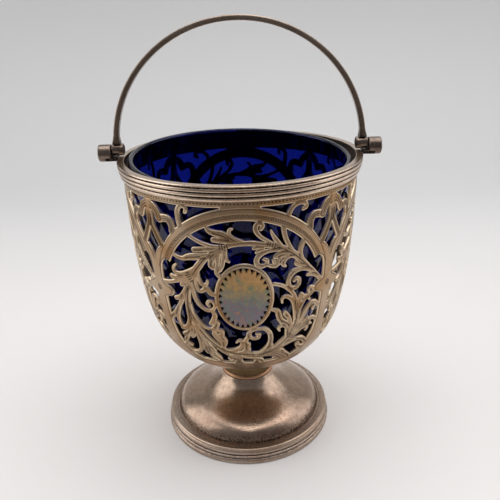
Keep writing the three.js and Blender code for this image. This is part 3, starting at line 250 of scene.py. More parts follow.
# Foot dome
# A hollow foot spun up from one sheet of silver: trumpet neck, rounded shoulder and a flat flange
# that sits inside the border. Polished once, now worn, with fine scratches and black pitting.
foot_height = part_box("foot_dome")[1][2] / mm
dome_radius = 29.1
neck_radius = 10.4
flange_height = 6.0
flange_radius = border_inner_radius - 0.1
foot_sheet = 0.9
dome_shape = [
    [0, 1], [0.019, 0.948], [0.048, 0.883], [0.118, 0.788], [0.203, 0.702], [0.289, 0.628],
    [0.385, 0.563], [0.492, 0.504], [0.599, 0.449], [0.706, 0.391], [0.791, 0.336], [0.856, 0.284],
    [0.909, 0.226], [0.957, 0.149], [0.987, 0.071], [1, 0.017],
]
dome_outer = smooth_line([
    [
        neck_radius + (dome_radius - neck_radius) * out,
        flange_height + (foot_height - flange_height) * up,
        0.55 if out > 0.98 else (0.3 if out > 0.95 else 0.0),
    ]
    for out, up in dome_shape
], 8)
dome_line = [[0, foot_height, 0.3]] + [list(point) for point in dome_outer]
dome_line += [
    [dome_radius + 0.12, flange_height, 0.4], [dome_radius + 0.4, flange_height, 0.1],
    [flange_radius - 0.05, flange_height, 0.1], [flange_radius, flange_height - 0.02, 0.4],
    [flange_radius, flange_height - foot_sheet, 0.8],
    [dome_radius - foot_sheet, flange_height - foot_sheet, 0.6],
]
dome_line += [
    [max(radius - foot_sheet * 0.8, 0.5), height - foot_sheet * 0.75, 0.5]
    for radius, height, _ in dome_outer[-6::-8]
]
dome_line += [[0, foot_height - foot_sheet, 0.5]]
dome_silver = silver(
    "Foot silver", colour(186, 164, 144), colour(138, 113, 98), colour(40, 28, 24),
    rough=0.2, patch=18.0, stain_share=0.55, scratch=0.16, pits=0.5,
)
foot_dome = finished("Foot_dome", turned_mesh("Foot_dome", dome_line), dome_silver, "basket", crease=55)
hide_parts("foot_dome")

# Neck ring
# A thin ring of half-round wire soldered between foot and stem. The silver has worn off its edge,
# so copper shows through.
ring_low, ring_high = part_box("neck_ring")
ring_bottom = ring_low[2] / mm
ring_top = ring_high[2] / mm
ring_inner = 6
copper = silver(
    "Worn copper", colour(188, 144, 112), colour(158, 118, 92), colour(104, 76, 58), rough=0.42, patch=60.0
)
ring_edge = smooth_line([
    [10.2, ring_bottom, 0.6], [10.34, ring_bottom + 0.2, 0.1], [10.25, ring_bottom + 0.6, 0],
    [10.0, ring_top - 0.2, 0.2], [9.8, ring_top, 0.6],
], 5)
ring_line = [[ring_inner, ring_bottom, 1]] + [list(point) for point in ring_edge]
ring_line += [[ring_inner, ring_top, 1], [ring_inner, ring_bottom, 1]]
neck_ring = finished("Neck_ring", turned_mesh("Neck_ring", ring_line), copper, "basket")
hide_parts("neck_ring")

# Stem
# A short waisted drum of silver, turned and soldered between the ring and the bowl. Its dark colour is
# partly tarnish where a cloth can't reach and partly painted shade from the bowl above.
stem_low, stem_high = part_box("stem")
stem_bottom = stem_low[2] / mm
stem_top = stem_high[2] / mm
# Painted shade: these base colours are darkened for the bowl's shadow on the stem, besides its tarnish
stem_silver_and_shade = silver(
    "Stem silver", colour(112, 92, 64), colour(84, 68, 46), colour(40, 28, 20), rough=0.38, patch=50.0
)
stem_side = smooth_line([
    [9.8, stem_bottom, 0.5], [9.65, stem_bottom + 0.7, 0.2], [9.2, stem_bottom + 3, 0.1],
    [9.25, stem_bottom + 5.7, 0.2], [9.6, stem_bottom + 7.3, 0.5], [10.4, stem_top, 1],
], 6)
stem_line = [[0, stem_bottom, 1]] + [list(point) for point in stem_side] + [[0, stem_top, 1]]
stem = finished("Stem_drum", turned_mesh("Stem_drum", stem_line), stem_silver_and_shade, "basket")
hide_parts("stem")

# Pierced bowl
# One sheet of silver, raised to a deep cup, then pierced by hand with a saw and chased. Four alike
# panels, each an arch on pilasters round a wreath of leaves and a plain shield, soldered to the stem.
bowl_radius = 41.3
bowl_depth = 78.3
bowl_sheet = 0.9
bowl_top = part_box("pierced_bowl")[1][2] / mm
bowl_shape = [
    [1, 0], [0.998, 0.069], [0.988, 0.255], [0.973, 0.382], [0.949, 0.51], [0.91, 0.637],
    [0.86, 0.739], [0.775, 0.833], [0.63, 0.924], [0.484, 0.966], [0.34, 0.992], [0.2, 1], [0, 1],
]
bowl_line = smooth_line([[bowl_radius * out, bowl_top - bowl_depth * down] for out, down in bowl_shape], 60)
bowl_along = np.concatenate([[0.0], np.cumsum(np.hypot(*np.diff(bowl_line, axis=0).T))])
bowl_slope = np.gradient(bowl_line, bowl_along, axis=0)


def on_bowl(distance, lift):
    """Radius and height at distances down the bowl's outer line, moved outwards by lifts, in mm."""
    radius, height, out, up = (
        np.interp(distance, bowl_along, values)
        for values in (bowl_line[:, 0], bowl_line[:, 1], bowl_slope[:, 0], bowl_slope[:, 1])
    )
    return radius - up * lift, height + out * lift


# The ornament is drawn flat: degrees round the bowl from the front, millimetres down from the border,
# and the width of the metal there, three numbers for each point of a strand.

# The ring of stems round the shield: top, right and left, then the foot of the wreath
stems = [
    [-23.8, 25.2, 1.8, -21.6, 22.8, 2.3, -19.2, 20.3, 2.4, -16, 17.5, 2, -12, 15.2, 1.6, -8, 13.6, 1.5,
     -6.5, 13, 1.5],
    [-6.5, 13, 1.5, -3, 12.3, 1.4, 1, 12, 1.5, 5, 12.1, 1.6, 9, 12.7, 1.6, 12.5, 13.2, 1.6],
    [12.5, 13.2, 1.6, 16.5, 14.2, 1.8, 20.5, 15.9, 2.2, 24, 17.8, 2.2, 27.5, 20.3, 2, 31, 23, 1.7,
     35, 26, 1.5, 38.5, 28.8, 1.5, 41, 30, 1.5],
    [-23.8, 25.2, 1.6, -25.4, 29, 1.7, -26.5, 32.5, 2, -27.1, 36, 2, -27.2, 40, 1.9, -27.4, 43.5, 1.8],
    [8, 56.2, 1.8, 3, 56, 1.7, -2, 55.7, 1.7, -6.5, 55.1, 1.7, -11, 53.8, 1.7, -15, 51.8, 1.8,
     -19, 48.8, 1.8, -22.4, 45.4, 1.7, -24.8, 42, 1.4, -25.9, 38.5, 1.2, -26.2, 35, 1.2],
    [8, 56.2, 1.8, 13, 55.5, 2, 17.5, 53.6, 2.2, 21.5, 50.8, 2.4, 24, 48.9, 2, 24.8, 47.5, 1.6],
]

# Leaves that spring from the upper left stem
upper_left_leaves = [
    [-1, 11.3, 1, -4.5, 10.6, 1.6, -7.5, 9.2, 2.3, -10.2, 8.7, 1.9, -12.8, 8.1, 1.5, -14.2, 7.1, 0.9],
    [-2, 11.6, 1, -6, 11.3, 1.3, -9, 11, 1.6, -11.3, 10.8, 1.6],
    [0.5, 11.2, 0.8, -2.6, 10.3, 0.9, -4.4, 9.2, 0.9, -4.8, 8.2, 0.9, -4.2, 7.4, 0.8, -3.4, 7.2, 0.6],
    [-8, 13, 1, -12, 13, 1.1, -16, 12.3, 1.1, -19.5, 11.2, 1, -22.5, 10, 1.1],
    [-9.5, 13.7, 0.9, -13, 14.1, 1.4, -17, 14.3, 1.7, -20.3, 14.6, 1.7],
    [-13, 15.6, 0.9, -17, 16.5, 1.6, -20.5, 17, 2.3, -23.5, 17.4, 2, -26.5, 18.2, 1.4, -29, 18, 1.2,
     -31.8, 17.3, 1],
    [-9, 14.4, 0.9, -11, 15.8, 1.3, -12.6, 17.6, 1.7, -13.2, 19.3, 1.8, -12.6, 20.2, 1.5],
    [-8.5, 14.5, 0.9, -9.6, 16.2, 1.2, -10.2, 18.2, 1.3, -10.6, 20.5, 1.3, -10.9, 22, 1.4, -9.9, 23.3, 1.1],
    [-7, 14.3, 0.8, -7.4, 16, 1.1, -7.8, 17.8, 1.2, -8.3, 19.5, 1.2, -9.4, 21.2, 1],
    [-6.5, 14.3, 0.8, -6.5, 16, 0.8, -6.1, 17.6, 0.8, -5.2, 18.1, 0.6],
    [-19.8, 21.5, 0.9, -19.6, 24.3, 1.1, -18.8, 26.2, 1.2, -17.4, 26.9, 1.2, -16, 26.4, 1,
     -15.5, 25.2, 0.7],
    [-21.4, 24, 0.9, -21.1, 27, 1.2, -20.2, 29, 1.3, -18.8, 29.2, 1.3, -17.2, 28.4, 1.5, -15.8, 28.2, 1.5,
     -15, 29.3, 1.5, -13.7, 30.1, 1.2, -12.3, 30.2, 0.9],
    [-21.5, 21.6, 1.6, -25, 23.1, 1.7, -28.5, 24, 1.5, -31.2, 24, 1.4, -32.4, 22.9, 1, -31.9, 21.7, 0.8,
     -30.6, 20.9, 0.6],
    [-25, 24.4, 1, -29, 25.2, 1.3, -32, 25.8, 1.5, -34, 25.7, 1.6],
    [-24.5, 25.2, 0.9, -28, 26.3, 1.1, -32, 27.2, 1.2, -36, 28.2, 1.3, -40, 28.8, 1.6],
    [-24.6, 25.6, 0.8, -27, 27.2, 1.2, -28.9, 28.1, 1.3],
]

# Hooks, tendrils and the large spiral on the upper right stem
upper_right_leaves = [
    [14, 13, 0.9, 11.5, 11.8, 1, 8.5, 10.3, 1.1, 6.5, 8.3, 1.3, 6.4, 6.6, 1.3, 8, 5.6, 1.3, 9.2, 6.6, 1.1,
     8.5, 7.7, 0.9],
    [17.5, 14, 1, 15.2, 11.9, 1.3, 13.6, 10, 1, 12.7, 8.4, 0.5],
    [23, 16.5, 1, 20.8, 14, 1.2, 19.2, 11.5, 1.3, 18.4, 9.2, 1.4, 18.2, 7.7, 1.4],
    [28, 20.2, 0.9, 26.6, 17.8, 1.3, 26.6, 15.6, 1.6, 27.7, 13.8, 1.6],
    [20, 15.5, 1, 16, 14.9, 1.2, 12, 14.9, 1.3, 8.5, 15.8, 1.4, 6.5, 17.6, 1.5, 6.8, 19.4, 1.5,
     8.8, 20, 1.4, 10.6, 19.4, 1.2, 11, 18.2, 1.1, 9.7, 17.7, 0.9],
    [9.5, 13.8, 0.8, 6.8, 13.5, 1, 5.3, 13.8, 0.9],
    [9.5, 14.3, 0.8, 7.4, 14.6, 0.9, 6.3, 15.3, 0.6],
    [22.5, 17.4, 1, 19.5, 16.4, 1.3, 16.5, 16.4, 1.6, 14.8, 17.3, 1.5],
    [20, 17.3, 0.8, 17, 17.4, 1.1, 16.2, 18.8, 1.4, 15.2, 20.1, 1.5, 13, 20.3, 1.2, 10.9, 19.6, 0.9],
    [13.7, 18.3, 0.9, 14.4, 19.5, 1.3],
    [25.5, 19, 0.9, 22.5, 18, 1, 20.2, 18.1, 1.2, 18.6, 19.2, 1.3, 18.3, 20.5, 1.1, 19.3, 21, 0.7],
    [20, 17.8, 0.8, 17.9, 18.6, 1, 17.3, 19.8, 0.9],
    [30.5, 23, 0.9, 27.5, 21.9, 1.3, 25.5, 21.3, 1.6, 24.5, 20.6, 1.4],
    [35, 26.3, 0.9, 31.5, 24.2, 1.3, 28, 23.3, 1.3, 25, 23.4, 1.4, 22.3, 24.6, 1.5, 21, 26.8, 1.5,
     21.8, 28.9, 1.4, 24.3, 29.7, 1.4, 26.4, 28.6, 1.3, 26.3, 26.8, 1.2, 25, 26.2, 1.1, 23.9, 27, 1],
    [25.6, 22.9, 0.8, 23, 23, 0.9, 21.6, 24.2, 0.8],
    [39, 29.2, 0.9, 36, 27.3, 1.2, 33.5, 26.3, 1.2, 31, 26.1, 1],
]

# Blades and curls that hang from the left knot
left_leaves = [
    [-24.5, 26, 1, -26.8, 29, 1.3, -28.8, 31.5, 1.5, -31, 33.2, 1.6, -33.5, 34, 1.5],
    [-27.5, 30, 1, -30, 34.2, 1.4, -33, 37.5, 1.5, -36.5, 40.7, 1.6, -40, 43.2, 2.2],
    [-31, 35.6, 0.9, -33, 38.6, 1.2, -34.6, 41, 1.5, -35, 43.5, 1.4, -34, 45.8, 1.4],
    [-23.6, 26, 1, -23.2, 29, 1.4, -22.4, 32.5, 1.3, -20.4, 35, 1.2, -17.5, 36.4, 1.2, -14.6, 36.2, 1.1,
     -13.1, 34.6, 1, -14, 33, 0.9, -15.8, 32.8, 0.9, -16.8, 33.9, 0.9, -15.9, 34.8, 0.8],
    [-25.6, 35, 0.9, -25.2, 38, 1.1, -23.9, 40.5, 1.3, -21.5, 42.8, 1.3, -18.8, 44.1, 1.1, -16, 44.3, 1],
    [-14.5, 36.6, 1, -13.7, 38.3, 1.6, -14.6, 40.2, 1.6, -16.2, 42, 1.3],
    [-14.4, 40.2, 1.2, -13, 41.5, 1.8, -14.2, 43.2, 1.8, -16, 44.2, 1.2],
    [-14.5, 44.6, 1.2, -15.4, 46.4, 1.4, -14.2, 48, 1.5, -12.2, 49.6, 1.6, -11.2, 51.2, 1.5,
     -11.3, 53, 1.2],
    [-13.5, 44.2, 1.4, -11.2, 45, 1.6, -11.4, 46.8, 1.7],
    [-13.5, 46.4, 1.4, -11.2, 47.8, 1.7, -9.9, 49.2, 1.6, -10.3, 51, 1.4],
    [-28, 42, 1.2, -29, 44, 1.5, -31, 45.8, 1.6, -33.8, 46.5, 1.5],
    [-27, 43.5, 1.2, -28.5, 46.3, 1.6, -31, 48.3, 1.8, -33.6, 49.4, 1.8],
    [-26.2, 44, 1, -26.6, 46.5, 1.4, -27.4, 48.6, 1.6, -28.6, 49.6, 1.2],
    [-30.5, 48.8, 1.4, -32.5, 50.8, 1.8, -33.9, 52.2, 1.7, -34.4, 53.6, 1.6],
    [-25.5, 44, 1.2, -24.6, 48, 1.6, -24.2, 51.5, 1.6, -24.8, 54.5, 1.6, -27, 57, 1.5, -30, 58.1, 1.4,
     -33, 57.9, 1.5, -35.5, 56.8, 1.8, -38, 55.6, 2.2],
    [-36.5, 55.6, 1.9, -34.5, 54.7, 1.7, -32.5, 54.4, 1.5, -31.3, 54.6, 1.1],
    [-24, 45.5, 1, -22.8, 49, 1.2, -22, 52, 1.4, -22.2, 54.8, 1.8, -21.6, 56.6, 1.7],
    [-22.8, 46.5, 0.9, -20, 50.5, 1.2, -18, 53.5, 1.5, -16.6, 55, 1.1],
    [-20.8, 50.5, 1.2, -20, 54, 1.8, -19.8, 57, 1.5, -19.4, 59.2, 1.5, -17.6, 60.8, 1.4, -16.2, 63, 1.3],
    [-18.6, 54, 1.6, -16.9, 57, 1.6, -15.2, 59, 1.6, -14.8, 61, 1.4, -15.8, 63, 1.3],
]

# The fan of blades on the right knot
right_leaves = [
    [22.8, 50.8, 1.6, 22.4, 48, 1.8, 22, 45.8, 1.6, 20.8, 44.4, 1.3, 18.8, 44, 1.3, 17.4, 45, 1,
     18, 46.1, 0.6],
    [23.6, 47.5, 1.2, 22.3, 44.5, 1.4, 20.3, 42.6, 1.5, 18, 41.2, 2, 17, 39.3, 2, 16.3, 37.6, 1.6,
     14, 36.7, 1],
    [24.2, 46.5, 1.2, 23.6, 43.5, 1.4, 22.2, 41, 1.6, 20.6, 39.4, 1.7, 20, 38.5, 1],
    [23, 46.6, 1, 21, 43.6, 1.2, 18.6, 42.6, 1.4],
    [24.5, 49.5, 1.4, 25.8, 45.5, 1.4, 26.3, 41, 1.5, 25.9, 37, 1.4, 25.2, 34, 1.3, 23.6, 31.6, 1.2,
     21, 29.5, 1.2, 18, 27.9, 1.1, 14.2, 26.9, 1.1],
    [26, 44, 0.8, 25, 38, 1.2, 23.8, 34.7, 1.3, 21.5, 32.7, 1.3, 19.4, 32.3, 1.1, 18.2, 33.2, 0.8,
     18.4, 34.5, 0.6],
    [25.5, 47.5, 1.2, 27.4, 43, 1.4, 27.9, 38.5, 1.5, 27.6, 35, 1.6, 28.3, 33, 1.4],
    [27.8, 40, 1, 28.8, 37.2, 1.3, 30.5, 35.3, 1.3, 32.3, 34.9, 1.1, 33.7, 36.2, 0.6],
    [28.8, 33.2, 1.2, 30.6, 34.2, 1.3, 33, 34, 1.3, 34.9, 33.2, 1.2, 35.4, 32, 1.1, 33.8, 31.2, 1,
     32.4, 31.7, 0.9, 32.6, 32.7, 0.8],
    [25.8, 47.8, 1.3, 29, 44.8, 1.5, 31, 41.7, 1.5, 33, 39, 1.5, 35.5, 37.6, 1.4, 38, 38.2, 1.4,
     40.6, 40.2, 1.6],
    [39, 39.3, 1, 37.2, 39.6, 1, 36.7, 40.8, 0.9],
    [26.5, 48.2, 1.2, 30, 46, 1.5, 33, 44.6, 1.5, 34, 43.6, 0.8],
    [29, 47, 1.2, 34, 45.6, 1.8, 37, 44.4, 1.4, 40.8, 46, 1.6],
    [31, 46.6, 1, 35, 46.6, 1.3, 37.2, 47, 0.7],
    [24.6, 50.6, 1.2, 28.5, 48.6, 1.3, 31.5, 47.3, 1.3, 34, 47.1, 1.3, 34.9, 48.3, 1, 34, 49.2, 0.7],
]

# Scrolls and leaves along the foot of the wreath
bottom_leaves = [
    [-8, 53.8, 1, -4.5, 53.4, 1.5, -2, 52, 1.5, -1.2, 50.3, 1.3, -1.7, 49, 1.3, -3, 49, 0.9,
     -4.2, 49.8, 0.6],
    [-3, 54.6, 1, 0.2, 53.7, 1.6, 1, 51.2, 1.8, 0.6, 49, 1.6, 1.8, 47.3, 1.3, 2.2, 45.6, 1.2,
     4.2, 44.3, 1.2],
    [-1, 54.8, 0.9, 1.8, 54.3, 1.2, 2.5, 53.2, 1.1],
    [0.9, 52.4, 0.9, 2.2, 51.4, 1.1, 2.4, 50.4, 0.9],
    [8, 56, 1.5, 11.5, 53.8, 1.7, 13.3, 51, 1.8, 13.5, 48.2, 1.8, 12.4, 45.7, 1.6, 10, 44.1, 1.4,
     7.5, 43.9, 1.2, 4.5, 44.2, 1.2, 2.8, 45.4, 1.2, 3, 47.2, 1.2, 4.8, 48.1, 1.2, 6.9, 47.8, 1.3,
     7.5, 46.5, 1.2, 6.3, 46.1, 1],
    [-6, 55.6, 1, -3.5, 57, 1.3, 0, 58, 1.3, 4, 58.8, 1.3, 7.5, 59.3, 1.4, 10, 60.5, 1.3, 10.9, 63, 1.1],
    [-14.5, 53.3, 1.2, -11, 55.4, 1.5, -8, 57.2, 1.4, -6.4, 58.9, 1.3, -7.2, 60.2, 1, -8.8, 60.2, 0.9,
     -9.6, 58.9, 0.8],
    [-7, 56.6, 1.2, -4.7, 59, 1.7, -3.8, 61, 2, -3.6, 63.4, 2.2],
    [-4, 57.2, 1, -2.6, 58.6, 1.2, -2.4, 59.8, 0.9],
    [-3.4, 60.2, 1, -2, 61.3, 1.1, -2.2, 63.2, 1],
    [-4.6, 60, 0.9, -5.7, 61.2, 1, -5.3, 63.2, 1],
    [6.5, 59.4, 1.2, 7.4, 61.5, 1.7, 7.4, 63.4, 2.2],
    [7, 60.2, 0.9, 5.8, 61.3, 1, 6, 63.2, 1],
    [6, 56.8, 1.6, 10, 57.1, 1.6, 14, 56.4, 1.5, 18, 55.2, 1.4, 21, 53.9, 1.2, 25, 52.7, 1.4,
     29, 52.1, 1.7, 32.5, 52.8, 1.9, 35.3, 54.6, 1.9, 38, 56.6, 2.4],
    [10, 57.6, 1.2, 15, 58, 1.4, 18.5, 59.3, 1.6, 20.5, 61.2, 1.6, 21.5, 63.4, 1.4],
    [14, 57.7, 0.9, 17.2, 58.9, 1.2, 18, 60.2, 1, 16.8, 60.6, 0.7],
    [17, 56, 1.3, 21, 56.4, 1.7, 23.2, 58.3, 1.6, 25.6, 60, 1.7, 27.6, 61.8, 1.7, 28.8, 63.4, 1.5],
    [12, 57, 1.6, 18, 57.7, 2.4, 21.5, 59.5, 2.8, 24.5, 61.6, 3, 26, 63.4, 2.4],
    [10.5, 55.5, 1.2, 13, 53.8, 1.5, 14.8, 52.3, 1],
    [38, 58.2, 2.2, 34.2, 57.8, 2, 31.9, 56.8, 1.8, 30.8, 55.5, 1.5, 31.6, 54.9, 0.9],
]

# Right half of the spandrel over a pilaster, from the pilaster's middle line
spandrel = [
    [-1, 1.7, 2.7, 2.7, 2.5, 2.7, 5, 4.1, 2.7, 6.2, 6, 2.7],
    [6.2, 6.3, 2.3, 8.6, 5.7, 2.4, 11.3, 5.8, 2.4, 13, 7.4, 2.3, 12.9, 9.6, 2],
    [0, 3.2, 2.6, 0.3, 6, 2.4, 0.9, 8.6, 2, 2.9, 11.5, 2.2, 5.6, 14.9, 2.2],
]

# Small hooks between the arch and the border, to the left and right of a pilaster
hooks = [
    [-24.2, 5, 1.4, -22.6, 2.4, 1.3, -20.6, 1.2, 1.2, -18.2, 0.8, 1.2, -16, 1.2, 1.3, -15.6, 2.4, 1.3,
     -17, 3, 1],
    [17.2, 7.2, 1.6, 16.7, 4.6, 1.5, 16.7, 2.6, 1.5, 17.8, 1.1, 1.3, 19.6, 0.7, 1.1, 20.9, 1.5, 1.1,
     20.4, 2.6, 1],
]

# Right half of the window under the arch, from the panel's middle line, below the arch's curve
window_side = [
    [34.3, 20.7], [35.5, 20.1], [37.1, 20.1], [38.7, 21], [39.9, 22.6], [40.4, 24.8], [40.3, 45.5],
    [39.5, 50], [37.7, 54.3], [34.5, 58.2], [31, 60.8], [27.6, 62.3],
]

# Right half of the arch's shoulder, from the pilaster's middle line up to the arch's curve
shoulder = [[0, 20.5], [0.6, 19.3], [1.7, 17.8], [3.5, 16.3], [5.4, 15.5]]

# Right half of the leafed boss on a pilaster
boss_side = [
    [3, 28.6], [4.6, 29.4], [7.3, 30.3], [9, 31.4], [9.1, 32.5], [8, 33.5], [6, 34.1], [3, 35],
]

# Ties on the stems where leaves spring from them: degrees, millimetres down, and the stem's turn
ties = [(-23.8, 25, 35), (-7, 13, 100), (13, 13, 75), (24.5, 49.5, 60), (9, 56.5, 95), (-16, 52.6, 120)]

panels = 4
drawn_panel = 87.75
drawn_middle = 0.3
border_depth = 5.3
pierced_reach = 66.0
spandrel_top = 0.6
arch_centre = 31.4
arch_outer = 31.0
arch_inner = 26.7
arch_crown = 6.0
arch_shoulder = 15.2
springing = math.sqrt(arch_inner ** 2 - (arch_centre - window_side[0][1]) ** 2)
mm_per_degree = springing / window_side[0][0]
half_panel = drawn_panel / 2 * mm_per_degree
shield_across, shield_down = (0.75 - drawn_middle) * mm_per_degree, 31.5
shield_half_width, shield_half_height = 9.7, 12.65
teeth_half_width, teeth_half_height = 8.2, 11.2
teeth = 28
tooth_inner = 0.86
boss_down = 31.7
strand_widening = 0.22
frame_overlap = 0.35
relief = 0.34
cut_depth = 0.14
tooth_depth = 0.2
wall_drop = 0.3
# Width of the painted highlight along the sawn edges, where light would catch their bevel, in mm
edge_highlight_width = 0.34
nowhere = -9.0

# Lines engraved along a strand: how far in from its edges, and how dark
leaf_lines = ((0.5, 0.4),)
spandrel_lines = ((0.36, 0.9), (0.74, 0.7))

# Lines engraved round the arch: radius, half width and how dark; and the short cuts between two
arch_lines = ((28.8, 0.18, 0.7), (27.8, 0.18, 0.5), (arch_outer - 0.5, 0.2, 0.9))
arch_cuts_radius = 28.3
arch_cuts_half_length = 0.34
arch_cuts_pitch = 235
shield_ring_inset = 1.05
shield_cuts_inset = 0.72
shield_cuts_pitch = 150
tie_half_length, tie_half_width = 1.5, 0.8


def arch_arc(radius, start, end, steps):
    """Points of a circle round the arch's centre, between two distances from its middle line."""
    turn = np.linspace(math.asin(start / radius), math.asin(end / radius), steps + 1)
    return np.stack([radius * np.sin(turn), arch_centre - radius * np.cos(turn)], axis=1)


def both_sides(half):
    """A half outline in degrees, and its mirror image, as one run of points in millimetres."""
    side = np.array(half) * [mm_per_degree, 1]
    return np.vstack([side, (side * [-1, 1])[::-1]])


def near(value, target, width):
    """1 on a line, falling to 0 at its width."""
    return np.clip(1 - np.abs(value - target) / width, 0, 1)


def drawing_fields(step):
    """The flat panel on a grid: depth inside the metal, how high it is chased, its engraved marks and a
    painted highlight along its sawn edges.
    """
    across_cells = round(2 * half_panel / step)
    down_cells = round((pierced_reach + border_depth) / step)
    x, y = np.meshgrid(
        np.linspace(-half_panel, half_panel, across_cells + 1),
        np.linspace(-border_depth, pierced_reach, down_cells + 1),
    )
    pitch_x = 2 * half_panel / across_cells
    pitch_y = (pierced_reach + border_depth) / down_cells

    def outside(outline):
        """Distance outside a closed outline, negative inside it."""
        gap = np.full(x.shape, 1e9)
        within = np.zeros(x.shape, dtype=bool)
        for (ax, ay), (bx, by) in zip(outline, np.roll(outline, -1, axis=0)):
            run = max((bx - ax) ** 2 + (by - ay) ** 2, 1e-12)
            share = np.clip(((x - ax) * (bx - ax) + (y - ay) * (by - ay)) / run, 0, 1)
            gap = np.minimum(gap, np.hypot(x - ax - share * (bx - ax), y - ay - share * (by - ay)))
            if ay != by:
                within ^= ((ay > y) != (by > y)) & (x < ax + (y - ay) * (bx - ax) / (by - ay))
        return np.where(within, -gap, gap)

    # The frame: all that is neither window nor spandrel
    window = np.vstack([both_sides(window_side[1:]), arch_arc(arch_inner, -springing, springing, 40)])
    shoulder_line = np.array(shoulder) * [mm_per_degree, 1]
    shoulder_side = math.sqrt(arch_outer ** 2 - (arch_centre - arch_shoulder) ** 2)
    rise = arch_arc(arch_outer, -shoulder_side, -arch_crown, 24)
    right = np.vstack([shoulder_line, rise + [half_panel, 0], [[half_panel - arch_crown, spandrel_top]]])
    spandrel_shape = np.vstack([right, (right[1:] * [-1, 1])[::-1]])
    frame_depth = outside(window)
    for side in (-half_panel, half_panel):
        frame_depth = np.minimum(frame_depth, outside(spandrel_shape + [side, 0]))

    depth = np.full(x.shape, nowhere)
    ridge = np.zeros(x.shape)
    cuts = np.zeros(x.shape)

    def add_strand(numbers, middle, shift=0.0, side=1, lines=leaf_lines):
        """Metal along a smooth line through its points, engraved along its edges and down its length."""
        points = np.array(numbers, dtype=float).reshape(-1, 3)
        points[:, 0] = side * (points[:, 0] - middle) * mm_per_degree + shift
        points[:, 2] += strand_widening
        line = smooth_line(points, 6)
        own = np.full(x.shape, nowhere)
        own_half = np.ones(x.shape)
        run_along = np.zeros(x.shape)
        travelled = 0.0
        for (ax, ay, aw), (bx, by, bw) in zip(line[:-1], line[1:]):
            length = math.hypot(bx - ax, by - ay)
            reach = max(aw, bw) / 2 + 2 * step
            left = max(int((min(ax, bx) - reach + half_panel) / pitch_x), 0)
            stop = min(int((max(ax, bx) + reach + half_panel) / pitch_x) + 2, across_cells + 1)
            top = max(int((min(ay, by) - reach + border_depth) / pitch_y), 0)
            low = min(int((max(ay, by) + reach + border_depth) / pitch_y) + 2, down_cells + 1)
            if left < stop and top < low:
                part = (slice(top, low), slice(left, stop))
                px, py = x[part] - ax, y[part] - ay
                share = np.clip((px * (bx - ax) + py * (by - ay)) / max(length ** 2, 1e-12), 0, 1)
                half = (aw + (bw - aw) * share) / 2
                inside = half - np.hypot(px - share * (bx - ax), py - share * (by - ay))
                nearer = inside > own[part]
                own[part] = np.where(nearer, inside, own[part])
                own_half[part] = np.where(nearer, half, own_half[part])
                run_along[part] = np.where(nearer, travelled + share * length, run_along[part])
            travelled += length

        # Cuts fade in past the strand's root, and outline it where it lies over other metal
        fade = np.clip((run_along - 0.9) / 1.4, 0, 1)
        marks = np.clip(near(own, 0.1, 0.22) * 1.7, 0, 1) * (depth > 0.22) * fade
        for inset, strength in lines:
            vein = np.clip(near(own, inset, 0.2) * 1.6, 0, 1) * (own_half > inset + 0.2)
            marks = np.maximum(marks, vein * fade * strength)
        middle_vein = np.clip(near(own, own_half, 0.26) * 1.5, 0, 1) * (own_half > 0.95)
        marks = np.maximum(marks, middle_vein * fade * 0.9)
        covered = (own > 0.02) & (fade > 0.3)
        cuts[:] = np.where(covered, marks, np.maximum(cuts, marks * (own > 0)))
        depth[:] = np.maximum(depth, own)
        ridge[:] = np.maximum(ridge, np.clip(own / 0.55, 0, 1))

    wreath = stems + upper_left_leaves + upper_right_leaves + left_leaves + right_leaves + bottom_leaves
    for numbers in wreath:
        add_strand(numbers, drawn_middle)
    beyond_window = outside(window) >= frame_overlap
    depth[beyond_window] = nowhere
    ridge[beyond_window] = 0.0
    cuts[beyond_window] = 0.0
    boss = both_sides(boss_side)
    for shift in (-half_panel, half_panel):
        for numbers in spandrel:
            for side in (1, -1):
                add_strand(numbers, 0, shift, side, spandrel_lines)
        for numbers in hooks:
            add_strand(numbers, 0, shift)
        frame_depth = np.maximum(frame_depth, -outside(boss + [shift, 0]))

    from_shield = np.hypot((x - shield_across) / shield_half_width, (y - shield_down) / shield_half_height)
    shield_depth = (1 - from_shield) * shield_half_width
    solid = np.maximum(frame_depth, shield_depth)
    metal = np.maximum(depth, solid)

    # How far each point of the metal lies from the nearest opening, a step at a time
    open_now = metal < 0
    from_edge = np.zeros(x.shape)
    for ring in range(1, 11):
        wider = open_now.copy()
        wider[1:] |= open_now[:-1]
        wider[:-1] |= open_now[1:]
        wider[:, 1:] |= open_now[:, :-1]
        wider[:, :-1] |= open_now[:, 1:]
        if ring % 2:
            wider[1:, 1:] |= open_now[:-1, :-1]
            wider[:-1, :-1] |= open_now[1:, 1:]
            wider[1:, :-1] |= open_now[:-1, 1:]
            wider[:-1, 1:] |= open_now[1:, :-1]
        open_now = wider
        from_edge += ~open_now * step

    flat = np.clip(solid / 0.5, 0, 1)
    crown = np.maximum(np.sqrt(np.clip(1 - (1 - ridge) ** 2, 0, 1)), flat)
    dark = cuts * np.clip(from_edge / edge_highlight_width - 0.4, 0, 1) * (solid < 0.15)

    def engrave(marks):
        """Marks cut into the metal, beside those already there."""
        np.maximum(dark, marks, out=dark)

    # Lines engraved beside the frame's edges and round the arch, with short cuts between two of them
    on_frame = (frame_depth > 0) & (y > -1.6)
    engrave(on_frame * near(frame_depth, 0.5, 0.2) * 0.9)
    ring_at = np.hypot(x, y - arch_centre)
    turn = np.arctan2(x, arch_centre - y)
    on_arch = (y < arch_centre - 8) & (ring_at < arch_outer) & (ring_at > arch_inner)
    hatch = np.clip(np.sin(turn * arch_cuts_pitch + (ring_at - 28) * 6) * 1.5 + 0.35, 0, 1)
    engrave(on_arch * (np.abs(ring_at - arch_cuts_radius) < arch_cuts_half_length) * hatch * 0.85)
    for line_at, width, strength in arch_lines:
        engrave(on_arch * near(ring_at, line_at, width) * strength)

